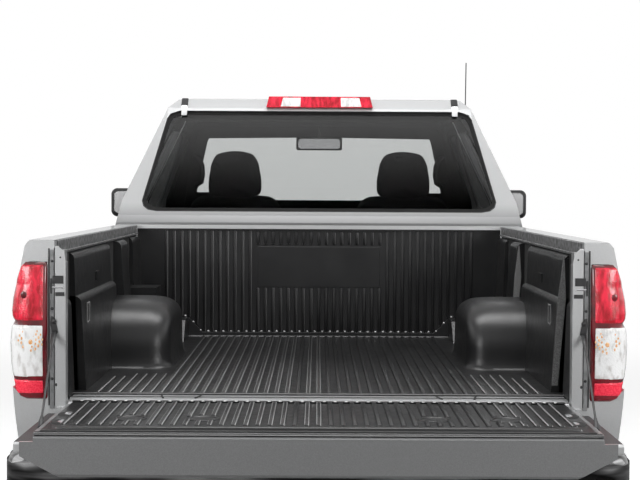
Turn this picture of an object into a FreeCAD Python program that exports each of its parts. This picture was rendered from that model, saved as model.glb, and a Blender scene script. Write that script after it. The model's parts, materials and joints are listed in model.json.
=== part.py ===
import FreeCAD, Part
import math
import os

# A four-wheel pickup truck with an extended cab and an open tailgate, in millimetres.
# +Y points to the front, +X to the right and +Z up. While the pieces are made, Y = 0 is the
# load sill at the rear of the bed floor; the last function moves everything so that the origin
# is on the ground under the middle of the outline.

V = FreeCAD.Vector
X_AXIS, Y_AXIS, Z_AXIS = V(1, 0, 0), V(0, 1, 0), V(0, 0, 1)

# Wheels and axles
BODY_HALF = 912
WHEELBASE = 3200
REAR_AXLE_Y = 1040
FRONT_AXLE_Y = REAR_AXLE_Y + WHEELBASE
TRACK = 2 * (BODY_HALF - 127)
TYRE_D = 776
TYRE_W = 262
TYRE_SHOULDER = 38
RIM_D = 440
RIM_W = 216
RIM_WALL = 10
RIM_DISC = 34
RIM_FACE_IN = 66
RIM_SPOKES = 6
HUB_BORE_D = 66
SPINDLE_CLEAR = 0.5
HUB_Z = TYRE_D / 2
WHEEL_X = TRACK / 2
KINGPIN_X = WHEEL_X - 113
SPINDLE_R = HUB_BORE_D / 2 - SPINDLE_CLEAR
FACE_X = WHEEL_X + RIM_W / 2 - RIM_FACE_IN

# Whole body
ROCKER_Z = 440
PANEL_GAP = 8
NOSE_Y = 5060
SHUT_GAP = 25

# Cab
CAB_REAR_Y = 1935
CAB_FLOOR_Z = 500
ROOF_Z = 1780
CAB_WALL = 34
DOOR_WALL = 84
BELT_Z = 1180
GLASS_T = 6
GLASS_INSET = 10
HALF_DOOR_REAR_Y = CAB_REAR_Y + 185
DOOR_SPLIT_Y = HALF_DOOR_REAR_Y + 520
DOOR_FRONT_Y = DOOR_SPLIT_Y + 1090
DASH_Y = DOOR_FRONT_Y + 10
COWL_Y = DASH_Y + 150
CUT = 3000
DOOR_SILL_Z = 490
DOOR_TOP_Z = 1690
HINGE_BACK = 130
HINGE_IN = 28
HINGE_X = BODY_HALF - HINGE_IN
HINGE_PIN_R = 5
HINGE_EYE_R = 9
PIN_CLEAR = 0.3
HINGE_HEIGHTS = (790, 1050)
DOOR_LIP_T = 10
POST_FACE_X = BODY_HALF - 167
SWING_CLEAR = 6
LIP_TOP_Z = 1176
TUNNEL_BACK_Y = 2350
FRONT_HINGE_Y = DOOR_FRONT_Y - HINGE_BACK
REAR_HINGE_Y = HALF_DOOR_REAR_Y + HINGE_BACK

# Bed
BED_FRONT_Y = CAB_REAR_Y - SHUT_GAP
BED_WALL_FRONT = 36
BED_FLOOR_Z = 730
BED_INNER_HALF = BODY_HALF - 126
RAIL_Z = 1205
PAN_T = 14
BED_SKIRT_Z = 480
SKIRT_T = 26
LINER_T = 12
LINER_RIB_H = 6
LINER_RIB_PITCH = 32.8
LINER_RIB_W = 15
LINER_RIB_SIDE = int((BED_INNER_HALF - 125) / LINER_RIB_PITCH)
LINER_END_Y = 95
RIB_END = 12
HEAD_RIB_TOP_Z = 1182
HEAD_RIB_LOW_Z = BED_FLOOR_Z + 18
HEAD_STEP_Z = BED_FLOOR_Z + 78
HEAD_PLAIN_HALF = 270
HEAD_PLAIN_Z0 = 936
HEAD_PLAIN_Z1 = 1120
PANEL_X = BED_INNER_HALF - 42
PANEL_Y0 = 190
PANEL_Y1 = 970
PANEL_LEDGE_Z = 1020
PANEL_TOP_Z = RAIL_Z - 47
PILASTER_Y0 = 1160
PILASTER_Y1 = 1350
FILLER_IN_X = BED_INNER_HALF - 131
FILLER_Y0 = 1450
FILLER_Y1 = 1620
FILLER_TOP_Z = 962
HOUSE_IN_X = BED_INNER_HALF - 256
HOUSE_HALF_L = 285
HOUSE_TOP_Z = 953
HOUSE_END_R = 170
HOUSE_ROUND = 75
HOUSE_WALL = 14
ARCH_R = 452
SILL_Y0 = 28
SILL_TOP_Z = BED_FLOOR_Z - 8
POST_REAR_Y = -40
POST_HALF = BED_INNER_HALF - 26
LAMP_IN_X = POST_HALF + 52
LAMP_Z0 = 732
LAMP_Z1 = 1140
LAMP_DEEP = 62
LAMP_PROUD = 14
BED_BEAMS = (120, 386, 1330)

# Tailgate, built as it stands open, flat behind the sill
GATE_PIVOT_Y = -52
GATE_PIVOT_Z = 692
GATE_TOP_Z = BED_FLOOR_Z - 5
GATE_HALF = BED_INNER_HALF
GATE_INNER_HALF = POST_HALF - 10
GATE_FRONT_Y = -22
GATE_LEN = 548
GATE_T = 57
GATE_SKIN_T = 30
GATE_LIP_DEEP = 68
GATE_LIP_HALF = GATE_HALF - 106
GATE_LIP_L = 74
GATE_LINER_T = 8
GATE_PIN_R = 9
CUP_PLACES = (230, 430)
CUP_IN = 170
CUP_R = 44

# Bonnet and nose
HOOD_Y0 = COWL_Y + 34
HOOD_PIVOT_Y = HOOD_Y0 + 15
HOOD_PIVOT_Z = 1116
HOOD_Y1 = NOSE_Y - 122
HOOD_HALF = BODY_HALF - 196
HOOD_T = 30
HOOD_HIGH_Z = 1156
WING_T = 24
LAMP_WALL_Y = NOSE_Y - 360
GRILLE_TOP_Z = 926
GRILLE_LOW_Z = 700
GRILLE_Y = NOSE_Y - 170
GRILLE_HALF = HOOD_HALF - 204
GRILLE_FRAME = 22
GRILLE_BARS = 4
GRILLE_PITCH = 36
HEADLAMP_IN_X = HOOD_HALF - 196
HEADLAMP_OUT_X = BODY_HALF - 7
HEADLAMP_Z0 = 720
HEADLAMP_Z1 = 905
FRONT_BUMPER_LOW_Z = 390
FRONT_BUMPER_TOP_Z = 640

# Frame
RAIL_IN_X = 392
RAIL_W = 74
RAIL_OUT_X = RAIL_IN_X + RAIL_W
FRONT_RAIL_IN_X = 352
FRONT_RAIL_OUT_X = FRONT_RAIL_IN_X + RAIL_W
FRAME_FRONT_Y = NOSE_Y - 180
BUMPER_BACK_Y = -74
BUMPER_HALF = BODY_HALF + 33
BUMPER_T = 34
BUMPER_LOW_Z = 440
BUMPER_TOP_Z = 612
BUMPER_WRAP_Y = 70
STEP_HALF = 520
BALL_PLATE_T = 10
BALL_HOLE_R = 13
BALL_HOLE_Y = -116
TUNNEL_HALF = 190
TUNNEL_TOP_Z = 700
FLOOR_T = 30
FRAME_LOW_Z = 372
FRAME_HIGH_Z = 500
KICK = 96

# Springs, engine and what hangs under the bed
AXLE_TUBE_R = 46
SPRING_X = 520
SPRING_W = 60
SPRING_HALF = 640
SPRING_SAG = 70
LEAF_T = 9
LEAVES = 4
LEAF_STEP = 150
SPRING_PIN_R = 9
SPRING_R = (SPRING_HALF ** 2 + SPRING_SAG ** 2) / (2 * SPRING_SAG)
SPRING_SEAT_Z = HUB_Z + AXLE_TUBE_R + 0.3
SPRING_EYE_Z = SPRING_SEAT_Z + LEAF_T * (LEAVES - 0.5) + SPRING_SAG
SPRING_EYE_Y0 = REAR_AXLE_Y - SPRING_HALF
SPRING_EYE_Y1 = REAR_AXLE_Y + SPRING_HALF
ENGINE_BACK_Y = FRONT_AXLE_Y - 220
ENGINE_FRONT_Y = FRONT_AXLE_Y + 400
SHAFT_Z = 490
SHAFT_R = 34
DIFF_X = 60
DIFF_R = 138
PIPE_X = 250
PIPE_R = 26
PIPE_OUT_X = KINGPIN_X - 68
MUFFLER_R = 78
SPARE_Y = 420
SPARE_Z = 340

# Seats
SEAT_X = POST_FACE_X - 340
SEAT_HALF = 255
REST_HALF = 136
REST_Z0 = 1376
REST_H = 166
REAR_SEAT_X = POST_FACE_X - 345
REAR_SEAT_HALF = 230

# Steering wheel
STEER_X = 375 - POST_FACE_X
STEER_R = 190
STEER_RIM = 14
STEER_TILT = 24
COLUMN_END = 110
STEER_C = V(STEER_X, DASH_Y - 440, 1060)
STEER_AXIS = V(0, -math.cos(math.radians(STEER_TILT)), math.sin(math.radians(STEER_TILT)))


def poly(points):
    """A closed wire through 3-D points."""
    return Part.makePolygon(points + [points[0]])


def extrude(wire, direction):
    return Part.Face(wire).extrude(direction)


def prism_x(yz, x0, x1):
    """A side-view outline, drawn in Y and Z, carried along X."""
    return extrude(poly([V(x0, y, z) for y, z in yz]), V(x1 - x0, 0, 0))


def prism_y(xz, y0, y1):
    return extrude(poly([V(x, y0, z) for x, z in xz]), V(0, y1 - y0, 0))


def prism_z(xy, z0, z1):
    return extrude(poly([V(x, y, z0) for x, y in xy]), V(0, 0, z1 - z0))


def box(x0, x1, y0, y1, z0, z1):
    return Part.makeBox(x1 - x0, y1 - y0, z1 - z0, V(x0, y0, z0))


def rounded(shape, radius, pick):
    """Fillets the edges that pick(edge) chooses."""
    edges = [e for e in shape.Edges if pick(e)]
    return shape.makeFillet(radius, edges) if edges else shape


def along(edge, axis):
    """True for a straight edge that runs along the axis."""
    if edge.Curve.TypeId != "Part::GeomLine":
        return False
    d = edge.Vertexes[-1].Point.sub(edge.Vertexes[0].Point)
    return d.Length > 1e-6 and abs(abs(d.normalize().dot(axis)) - 1) < 1e-6


def soft_box(x0, x1, y0, y1, z0, z1, radius):
    b = box(x0, x1, y0, y1, z0, z1)
    return b.makeFillet(radius, b.Edges)


def cyl(x, y, z, axis, radius, length):
    return Part.makeCylinder(radius, length, V(x, y, z), axis)


def mirrored(shape):
    return shape.mirror(V(0, 0, 0), X_AXIS)


def both(shape):
    """The shape and its mirror image on the other side of the truck."""
    return [shape, mirrored(shape)]


def pipe(points, radius):
    """A round bar along straight runs, with a ball at each bend."""
    solid = None
    for i in range(len(points) - 1):
        run = points[i + 1].sub(points[i])
        bar = Part.makeCylinder(radius, run.Length, points[i], run)
        if i > 0:
            bar = bar.fuse(Part.makeSphere(radius, points[i]))
        solid = bar if solid is None else solid.fuse(bar)
    return solid.removeSplitter()


def half_outline(side):
    """Closes a right-hand half outline of X and Z points with its mirror image."""
    return side + [(-x, z) for x, z in reversed(side) if x > 0]


# Cab

CAB_SIDE = [
    (BODY_HALF - 50, ROCKER_Z),
    (BODY_HALF - 16, 610),
    (BODY_HALF, 860),
    (BODY_HALF - 6, 1050),
    (BODY_HALF - 24, 1200),
    (BODY_HALF - 48, 1306),
    (BODY_HALF - 240, 1722),
    (BODY_HALF - 284, ROOF_Z - 20),
]


def cab_envelope(inset, floor_inset):
    """The cab's outer form, or a smaller copy of it that hollows it out."""
    i, f = inset, floor_inset
    side = [
        (CAB_REAR_Y + i, ROCKER_Z + f),
        (CAB_REAR_Y + i, 1215),
        (CAB_REAR_Y + 12 + i, 1245),
        (CAB_REAR_Y + 138 + i, 1720 - 0.3 * i),
        (CAB_REAR_Y + 185 + i, 1764 - i),
        (CAB_REAR_Y + 545, ROOF_Z - i),
        (CAB_REAR_Y + 965, ROOF_Z - 6 - i),
        (DASH_Y - 590, ROOF_Z - 38 - i),
        (DASH_Y - 510 - 0.9 * i, ROOF_Z - 72 - i),
        (COWL_Y - 40 - 1.4 * i, 1206 - 0.4 * i),
        (COWL_Y - i, 1160 - 0.4 * i),
        (COWL_Y - 2 - i, 1090),
        (DASH_Y - i, 980),
        (DASH_Y - i, ROCKER_Z + f),
    ]
    body = prism_x(side, -CUT, CUT)
    section = [
        (CAB_SIDE[0][0] - i, ROCKER_Z + f),
        *[(x - i, z) for x, z in CAB_SIDE[1:-2]],
        (CAB_SIDE[-2][0] - i, CAB_SIDE[-2][1] - 0.5 * i),
        (CAB_SIDE[-1][0] - i, CAB_SIDE[-1][1] - i),
        (BODY_HALF - 482, ROOF_Z - 5 - i),
        (0, ROOF_Z - i),
    ]
    return body.common(prism_y(half_outline(section), 0, 2 * CUT))


def cabin_space():
    """The room inside the cab: thick doors below the belt, thin pillars above it."""
    upper = cab_envelope(CAB_WALL, CAB_FLOOR_Z - ROCKER_Z + FLOOR_T)
    sides = box(-BODY_HALF + DOOR_WALL, BODY_HALF - DOOR_WALL, 0, 2 * CUT, 0, BELT_Z)
    glasshouse = box(-CUT, CUT, 0, 2 * CUT, BELT_Z, CUT)
    return upper.common(sides.fuse(glasshouse))


FRONT_DOOR = [
    (DOOR_FRONT_Y, DOOR_SILL_Z),
    (DOOR_FRONT_Y, 1190),
    (DOOR_FRONT_Y - 90, 1262),
    (DOOR_FRONT_Y - 525, 1632),
    (DOOR_FRONT_Y - 610, 1676),
    (DOOR_FRONT_Y - 730, DOOR_TOP_Z),
    (DOOR_SPLIT_Y + PANEL_GAP, DOOR_TOP_Z),
    (DOOR_SPLIT_Y + PANEL_GAP, DOOR_SILL_Z),
]
HALF_DOOR = [
    (DOOR_SPLIT_Y, DOOR_SILL_Z),
    (DOOR_SPLIT_Y, DOOR_TOP_Z),
    (HALF_DOOR_REAR_Y + 180, DOOR_TOP_Z - 4),
    (HALF_DOOR_REAR_Y + 115, DOOR_TOP_Z - 34),
    (HALF_DOOR_REAR_Y, 1240),
    (HALF_DOOR_REAR_Y, DOOR_SILL_Z),
]
FRONT_WINDOW = [
    (DOOR_FRONT_Y - 130, 1212),
    (DOOR_FRONT_Y - 542, 1570),
    (DOOR_FRONT_Y - 625, 1618),
    (DOOR_FRONT_Y - 740, 1634),
    (DOOR_SPLIT_Y + 60, 1636),
    (DOOR_SPLIT_Y + 60, 1196),
    (DOOR_FRONT_Y - 170, 1196),
]
HALF_WINDOW = [
    (DOOR_SPLIT_Y - 50, 1196),
    (DOOR_SPLIT_Y - 50, 1634),
    (HALF_DOOR_REAR_Y + 218, 1628),
    (HALF_DOOR_REAR_Y + 168, 1600),
    (HALF_DOOR_REAR_Y + 86, 1262),
    (HALF_DOOR_REAR_Y + 86, 1196),
]


def edge_bevel(y, way, back):
    """Removes the inner corner of a door's free edge, so that it swings out past its neighbour."""
    cutter = None
    for (x0, z0), (x1, z1) in zip(CAB_SIDE, CAB_SIDE[1:]):
        deep = DOOR_WALL + 30 if z1 <= BELT_Z + 30 else CAB_WALL + 16
        corner = [V(x0 + 2, y + way, z0), V(x0 + 2, y, z0), V(x0 - deep, y - way * back, z0),
                  V(x0 - deep, y + way, z0)]
        piece = Part.Face(poly(corner)).extrude(V(x1 - x0, 0, z1 - z0))
        cutter = piece if cutter is None else cutter.fuse(piece)
    return cutter


def door_zone(more):
    """Everything as far out as the doors' inner faces, and all the glasshouse above the belt."""
    lower = box(BODY_HALF - DOOR_WALL - more, CUT, 0, 2 * CUT, 0, BELT_Z)
    return lower.fuse(box(BODY_HALF / 2, CUT, 0, 2 * CUT, BELT_Z, CUT))


def make_door(outline, side_wall, hinge_y, way, window):
    """A door: its box and window frame, a skin lip that reaches past the hinge, and hinge lugs.

    way is +1 where the hinge is at the front edge and -1 where it is at the rear edge.
    """
    door = side_wall.common(door_zone(0)).common(prism_x(outline, 0, CUT))
    door = door.cut(prism_x(window, 0, CUT))
    box_end = hinge_y - way * 30
    y0, y1 = sorted((box_end, box_end + way * 2 * HINGE_BACK))
    door = door.cut(box(BODY_HALF / 2, CUT, y0, y1, 0, LIP_TOP_Z).common(cab_envelope(DOOR_LIP_T, 0)))
    for z in HINGE_HEIGHTS:
        for low, high in ((z - 44, z - 20), (z + 20, z + 44)):
            lug = cyl(HINGE_X, hinge_y, low, Z_AXIS, HINGE_EYE_R, high - low)
            y0, y1 = sorted((box_end - way * 4, hinge_y))
            lug = lug.fuse(box(HINGE_X - HINGE_EYE_R, HINGE_X + HINGE_EYE_R, y0, y1, low, high))
            door = door.fuse(lug)
        bore = cyl(HINGE_X, hinge_y, z - 60, Z_AXIS, HINGE_PIN_R + PIN_CLEAR, 120)
        door = door.cut(bore)
    return door


def hinge_brackets(hinge_y):
    """Two brackets that stand out from the hinge pillar, each with its pin."""
    out = None
    for z in HINGE_HEIGHTS:
        arm = box(POST_FACE_X - 6, HINGE_X, hinge_y - HINGE_EYE_R, hinge_y + HINGE_EYE_R, z - 15, z + 15)
        eye = cyl(HINGE_X, hinge_y, z - 15, Z_AXIS, HINGE_EYE_R, 30)
        pin = cyl(HINGE_X, hinge_y, z - 44, Z_AXIS, HINGE_PIN_R, 88)
        piece = arm.fuse(eye).fuse(pin)
        out = piece if out is None else out.fuse(piece)
    return out


def swing_pocket(hinge_y):
    """The room beside a hinge pillar that the door's skin lip turns into as the door opens."""
    reach = math.hypot(HINGE_BACK, HINGE_IN) + SWING_CLEAR
    low = DOOR_SILL_Z - PANEL_GAP
    return cyl(HINGE_X, hinge_y, low, Z_AXIS, reach, LIP_TOP_Z + PANEL_GAP - low)


def hinge_pillars():
    """The inner pillars that the brackets stand on, behind the door lips."""
    front = box(POST_FACE_X - 36, POST_FACE_X, FRONT_HINGE_Y - 24, DASH_Y - 2, CAB_FLOOR_Z, 1150)
    rear = box(POST_FACE_X - 36, POST_FACE_X, HALF_DOOR_REAR_Y - 12, REAR_HINGE_Y + 24,
               CAB_FLOOR_Z, 1150)
    return front.fuse(rear)


def make_cab(outer, inner):
    """The cab's walls with the door, window and glass openings cut through."""
    shell = outer.cut(inner)
    opening = [(DOOR_FRONT_Y + PANEL_GAP, DOOR_SILL_Z - PANEL_GAP),
               (DOOR_FRONT_Y + PANEL_GAP, 1196),
               (DOOR_FRONT_Y - 86, 1272),
               (DOOR_FRONT_Y - 522, 1642),
               (DOOR_FRONT_Y - 608, 1684),
               (DOOR_FRONT_Y - 730, DOOR_TOP_Z + PANEL_GAP),
               (HALF_DOOR_REAR_Y + 178, DOOR_TOP_Z + 2),
               (HALF_DOOR_REAR_Y + 109, DOOR_TOP_Z - 30),
               (HALF_DOOR_REAR_Y - PANEL_GAP, 1242),
               (HALF_DOOR_REAR_Y - PANEL_GAP, DOOR_SILL_Z - PANEL_GAP)]
    door_hole = prism_x(opening, 0, CUT).common(door_zone(6))
    for hinge_y in (FRONT_HINGE_Y, REAR_HINGE_Y):
        door_hole = door_hole.fuse(swing_pocket(hinge_y))
    for part in both(door_hole):
        shell = shell.cut(part)
    fittings = hinge_pillars().fuse(hinge_brackets(FRONT_HINGE_Y)).fuse(hinge_brackets(REAR_HINGE_Y))
    for part in both(fittings):
        shell = shell.fuse(part)
    shell = shell.cut(rear_glass_hole(0))
    shell = shell.cut(windshield_hole(0))
    half = BODY_HALF - 172
    under = box(-half, half, CAB_REAR_Y - 10, DASH_Y + 10, 0, CAB_FLOOR_Z + FLOOR_T)
    return shell.cut(under).cut(tunnel(0))


def make_cab_floor():
    """The floor pan between the sills, with the tunnel over the gearbox."""
    half = BODY_HALF - 172
    pan = box(-half, half, CAB_REAR_Y, DASH_Y, CAB_FLOOR_Z, CAB_FLOOR_Z + FLOOR_T)
    return pan.fuse(tunnel(0)).cut(tunnel(20))


def tunnel(inset):
    """The hump in the floor over the gearbox and shaft, or the hollow under it."""
    i = inset
    extra = 10 if i else 0
    side = [(DASH_Y + extra, CAB_FLOOR_Z - 2 * extra), (DASH_Y + extra, TUNNEL_TOP_Z - i),
            (2930 + i, TUNNEL_TOP_Z - i), (2600 + i, 600 - i), (TUNNEL_BACK_Y + i, CAB_FLOOR_Z + 4),
            (TUNNEL_BACK_Y + i, CAB_FLOOR_Z - 2 * extra)]
    return prism_x(side, -TUNNEL_HALF + i, TUNNEL_HALF - i)


def rear_glass_hole(shrink):
    s = shrink
    outline = half_outline([(BODY_HALF - 200 - s, 1262 + s), (BODY_HALF - 164 - s, 1268 + s),
                            (BODY_HALF - 143 - s, 1284 + s), (BODY_HALF - 136 - s, 1308),
                            (BODY_HALF - 236 - s, 1672), (BODY_HALF - 250 - s, 1694 - s),
                            (BODY_HALF - 290 - s, 1708 - s)])
    return prism_y(outline, 0, CAB_REAR_Y + 465)


def windshield_hole(shrink):
    s = shrink
    outline = half_outline([(BODY_HALF - 142 - s, 1218 + s), (BODY_HALF - 272 - s, 1660 - s),
                            (BODY_HALF - 312 - s, 1690 - s)])
    return prism_y(outline, DASH_Y - 600, 2 * CUT)


def make_glass(hole, y0, y1):
    """A pane that follows the cab's outer form, set a little inside it."""
    pane = cab_envelope(GLASS_INSET, 0).cut(cab_envelope(GLASS_INSET + GLASS_T, 0))
    return pane.common(hole).common(box(-CUT, CUT, y0, y1, 1180, 1770))


def side_glass(outline):
    """A door's pane, from its sill up to the window frame."""
    (xa, za), (xb, zb) = CAB_SIDE[5:7]
    xa, xb = xa - GLASS_INSET, xb - GLASS_INSET
    slope = (xb - xa) / (zb - za)

    def x_at(z):
        return xa + slope * (z - za)
    pane = prism_y([(x_at(1150), 1150), (x_at(1700), 1700),
                    (x_at(1700) - GLASS_T, 1700), (x_at(1150) - GLASS_T, 1150)], 0, 2 * CUT)
    return pane.common(prism_x(outline, 0, CUT))


# Bed

def bed_section():
    """The outer form of the bed's sides, as an outline seen from behind."""
    lower = V(BODY_HALF - 40, 0, BED_SKIRT_Z)
    middle = V(BODY_HALF + 4, 0, 900)
    upper = V(BODY_HALF - 34, 0, RAIL_Z - 16)
    return lower, middle, upper


def bed_outer():
    lower, middle, upper = bed_section()
    edges = [Part.Arc(lower, middle, upper).toShape()]
    top_r = V(upper.x - 14, 0, RAIL_Z)
    top_l = V(-top_r.x, 0, RAIL_Z)
    m_upper, m_middle, m_lower = [V(-p.x, 0, p.z) for p in (upper, middle, lower)]
    edges.append(Part.makeLine(upper, top_r))
    edges.append(Part.makeLine(top_r, top_l))
    edges.append(Part.makeLine(top_l, m_upper))
    edges.append(Part.Arc(m_upper, m_middle, m_lower).toShape())
    edges.append(Part.makeLine(m_lower, lower))
    face = Part.Face(Part.Wire(edges))
    face.translate(V(0, POST_REAR_Y, 0))
    return face.extrude(V(0, BED_FRONT_Y - POST_REAR_Y, 0))


def wheelhouse(grow, reach=BED_INNER_HALF + 60):
    """The housing over the right rear wheel that stands up inside the bed, rounded at its edges."""
    inner_x = HOUSE_IN_X - grow
    half, top = HOUSE_HALF_L + grow, HOUSE_TOP_Z + grow
    low = BED_FLOOR_Z - LINER_T - PAN_T
    house = box(inner_x, reach, REAR_AXLE_Y - half, REAR_AXLE_Y + half, low, top)
    house = rounded(house, HOUSE_END_R + grow, lambda e: along(e, X_AXIS) and e.BoundBox.ZMin > top - 1)

    def inner_edge(e):
        return e.BoundBox.XMax < inner_x + 1 and e.BoundBox.ZMax > low + 1
    return rounded(house, HOUSE_ROUND + grow, inner_edge)


def make_bed():
    pan_z = BED_FLOOR_Z - LINER_T - PAN_T
    body = bed_outer()
    body = body.cut(box(-BED_INNER_HALF - 4, BED_INNER_HALF + 4, POST_REAR_Y - 10,
                        BED_FRONT_Y - BED_WALL_FRONT, pan_z + PAN_T, RAIL_Z + 10))
    skirt_in = BODY_HALF - 40 - SKIRT_T
    body = body.cut(box(-skirt_in, skirt_in, POST_REAR_Y - 10, BED_FRONT_Y + 10, 400, pan_z))
    body = body.cut(box(-POST_HALF, POST_HALF, POST_REAR_Y - 10, 0, pan_z - 10, RAIL_Z + 10))
    post = box(POST_HALF, BODY_HALF - 40, POST_REAR_Y, 6, 640, RAIL_Z - 30)
    post = post.common(bed_outer())
    lug = box(POST_HALF, POST_HALF + 20, GATE_PIVOT_Y - 16, POST_REAR_Y + 1, GATE_PIVOT_Z - 16,
              GATE_PIVOT_Z + 16)
    pin_hole = cyl(POST_HALF - 1, GATE_PIVOT_Y, GATE_PIVOT_Z, X_AXIS, GATE_PIN_R + PIN_CLEAR, 30)
    post = post.fuse(lug).cut(pin_hole)
    arch = cyl(skirt_in - 20, REAR_AXLE_Y, HUB_Z, X_AXIS, ARCH_R, CUT)
    for side in both(post):
        body = body.fuse(side)
    for side in both(wheelhouse(-LINER_T)):
        body = body.fuse(side)
    for side in both(wheelhouse(-LINER_T - HOUSE_WALL, skirt_in)):
        body = body.cut(side)
    for side in both(arch):
        body = body.cut(side)
    for side in both(lamp_block(0.3)):
        body = body.cut(side)
    half = POST_HALF - 3
    body = body.fuse(box(-half, half, SILL_Y0, LINER_END_Y - 1, pan_z, SILL_TOP_Z))
    for y in BED_BEAMS:
        body = body.fuse(box(-HOUSE_IN_X, HOUSE_IN_X, y, y + 70, FRAME_HIGH_Z + KICK, pan_z))
    front_beam = box(-HOUSE_IN_X, HOUSE_IN_X, 1800, 1870, FRAME_HIGH_Z, pan_z)
    return body.fuse(front_beam)


def rib_places():
    """The middles of the liner's ribs, counted out from the truck's middle."""
    side = LINER_RIB_SIDE
    return [k * LINER_RIB_PITCH for k in range(-side, side + 1)]


def floor_ribs(front_y):
    """Ribs along the floor; those in line with a wheelhouse stop behind it."""
    low = BED_FLOOR_Z - LINER_RIB_H
    house_y = REAR_AXLE_Y - HOUSE_HALF_L
    ribs = []
    for x in rib_places():
        end = front_y if abs(x) < HOUSE_IN_X - LINER_RIB_W else house_y - RIB_END
        ribs.append(box(x - LINER_RIB_W / 2, x + LINER_RIB_W / 2, LINER_END_Y + RIB_END, end,
                        low, BED_FLOOR_Z))
    return ribs


def head_ribs(front_y):
    """Upright ribs on the headboard, with a plain field in the middle and short ribs above it."""
    y0 = front_y - LINER_RIB_H
    ribs = []
    for x in rib_places():
        low = HEAD_RIB_LOW_Z
        if abs(x) > 0.9 * HOUSE_IN_X:
            low = HEAD_STEP_Z
        spans = [(low, HEAD_RIB_TOP_Z)]
        if abs(x) < HEAD_PLAIN_HALF:
            spans = [(low, HEAD_PLAIN_Z0), (HEAD_PLAIN_Z1, HEAD_RIB_TOP_Z - 5)]
        for z0, z1 in spans:
            ribs.append(box(x - LINER_RIB_W / 2, x + LINER_RIB_W / 2, y0, front_y, z0, z1))
    step = [(0, BED_FLOOR_Z - LINER_T), (HOUSE_IN_X + 120, BED_FLOOR_Z - LINER_T),
            (HOUSE_IN_X + 120, HEAD_STEP_Z), (HOUSE_IN_X + 30, HEAD_STEP_Z),
            (HOUSE_IN_X - 40, HEAD_RIB_LOW_Z), (0, HEAD_RIB_LOW_Z)]
    outline = step + [(-x, z) for x, z in reversed(step) if x > 0]
    ribs.append(prism_y(outline, y0, front_y))
    return ribs


def side_panels(front_y):
    """Raised panels on the right side wall, with the deep pockets left between them."""
    low, wall = BED_FLOOR_Z - LINER_T, BED_INNER_HALF
    panel = box(PANEL_X, wall, PANEL_Y0, PANEL_Y1, low, PANEL_LEDGE_Z)
    panel = rounded(panel, 20, lambda e: along(e, Y_AXIS) and e.BoundBox.XMax < PANEL_X + 1
                    and e.BoundBox.ZMin > PANEL_LEDGE_Z - 1)
    upper = box(wall - 12, wall, PANEL_Y0, PANEL_Y1, low, PANEL_TOP_Z)
    pilaster = box(PANEL_X, wall, PILASTER_Y0, PILASTER_Y1, low, PANEL_TOP_Z)
    rear = box(PANEL_X + 24, wall, 20, PANEL_Y0, low, PANEL_LEDGE_Z)
    corner = prism_x([(front_y - 240, low), (front_y - 165, HEAD_STEP_Z), (front_y + 2, HEAD_STEP_Z),
                      (front_y + 2, low)], HOUSE_IN_X + 30, wall)
    return [panel, upper, pilaster, rear, corner]


def make_liner():
    """The black ribbed tray: floor, headboard, side walls and wheelhouse covers."""
    t = LINER_T
    head_y = BED_FRONT_Y - BED_WALL_FRONT - t
    outer = box(-BED_INNER_HALF - 4, BED_INNER_HALF + 4, 6, head_y + t, BED_FLOOR_Z - t, RAIL_Z - 15)
    room = box(-BED_INNER_HALF + 2, BED_INNER_HALF - 2, -10, head_y, BED_FLOOR_Z - LINER_RIB_H, RAIL_Z + 10)
    sill = box(-POST_HALF, POST_HALF, 0, LINER_END_Y, 0, BED_FLOOR_Z + 20)
    walls_top = box(-CUT, CUT, 0, head_y - 10, PANEL_TOP_Z, RAIL_Z + 10)
    pieces = floor_ribs(head_y) + head_ribs(head_y)
    for panel in side_panels(head_y):
        pieces += both(panel)
    for side in both(wheelhouse(0)):
        pieces.append(side.common(outer))
    wall = BED_INNER_HALF
    filler = box(-wall - 2, -FILLER_IN_X, FILLER_Y0, FILLER_Y1, BED_FLOOR_Z - t, FILLER_TOP_Z)
    filler = rounded(filler, 30, lambda e: e.BoundBox.XMax > 1 - FILLER_IN_X - 2
                     and e.BoundBox.ZMax > FILLER_TOP_Z - 1 and along(e, Y_AXIS))
    pieces.append(filler)
    liner = outer.cut(room).cut(sill).cut(walls_top).fuse(pieces).common(outer)
    for side in both(wheelhouse(-t)):
        liner = liner.cut(side)
    for side in both(box(POST_HALF - 6, 1000, -50, 10, 600, 1300)):
        liner = liner.cut(side)
    return liner.cut(sill)


def lamp_block(grow):
    """A tail lamp that fills the rear corner of the bed side; its outer top corner is cut back."""
    g, out = grow, BODY_HALF + 30
    low, high = LAMP_Z0 - g, LAMP_Z1 + g
    outline = [(LAMP_IN_X - g, low), (BODY_HALF - 40, low), (BODY_HALF - 8 + g, low + 24), (out, low + 60),
               (out, high - 120), (BODY_HALF - 10 + g, high - 50), (BODY_HALF - 24 + g, high - 20),
               (BODY_HALF - 46, high), (LAMP_IN_X - g, high)]
    return prism_y(outline, POST_REAR_Y - 30, POST_REAR_Y + LAMP_DEEP + g)


def make_tail_lamps():
    """The lamps follow the bed's skin at the side and stand a little proud at the rear."""
    core = bed_outer().common(lamp_block(0))
    tall = LAMP_Z1 - LAMP_Z0
    sag = LAMP_PROUD
    radius = (tall ** 2 / 4 + sag ** 2) / (2 * sag)
    bow = cyl(0, POST_REAR_Y - sag + radius, 0.5 * (LAMP_Z0 + LAMP_Z1), X_AXIS, radius, BODY_HALF - 6)
    rear = box(0, BODY_HALF - 6, POST_REAR_Y - 2 * sag, POST_REAR_Y, LAMP_Z0, LAMP_Z1)
    face = bow.common(rear).common(lamp_block(0))
    return both(core.fuse(face).removeSplitter())


def make_stop_lamp():
    y = CAB_REAR_Y + 150
    outline = half_outline([(236, 1724), (224, 1772)])
    lamp = prism_y(outline, y - 30, y + 60)
    return lamp.cut(cab_envelope(-0.3, 0))


# Tailgate

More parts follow.
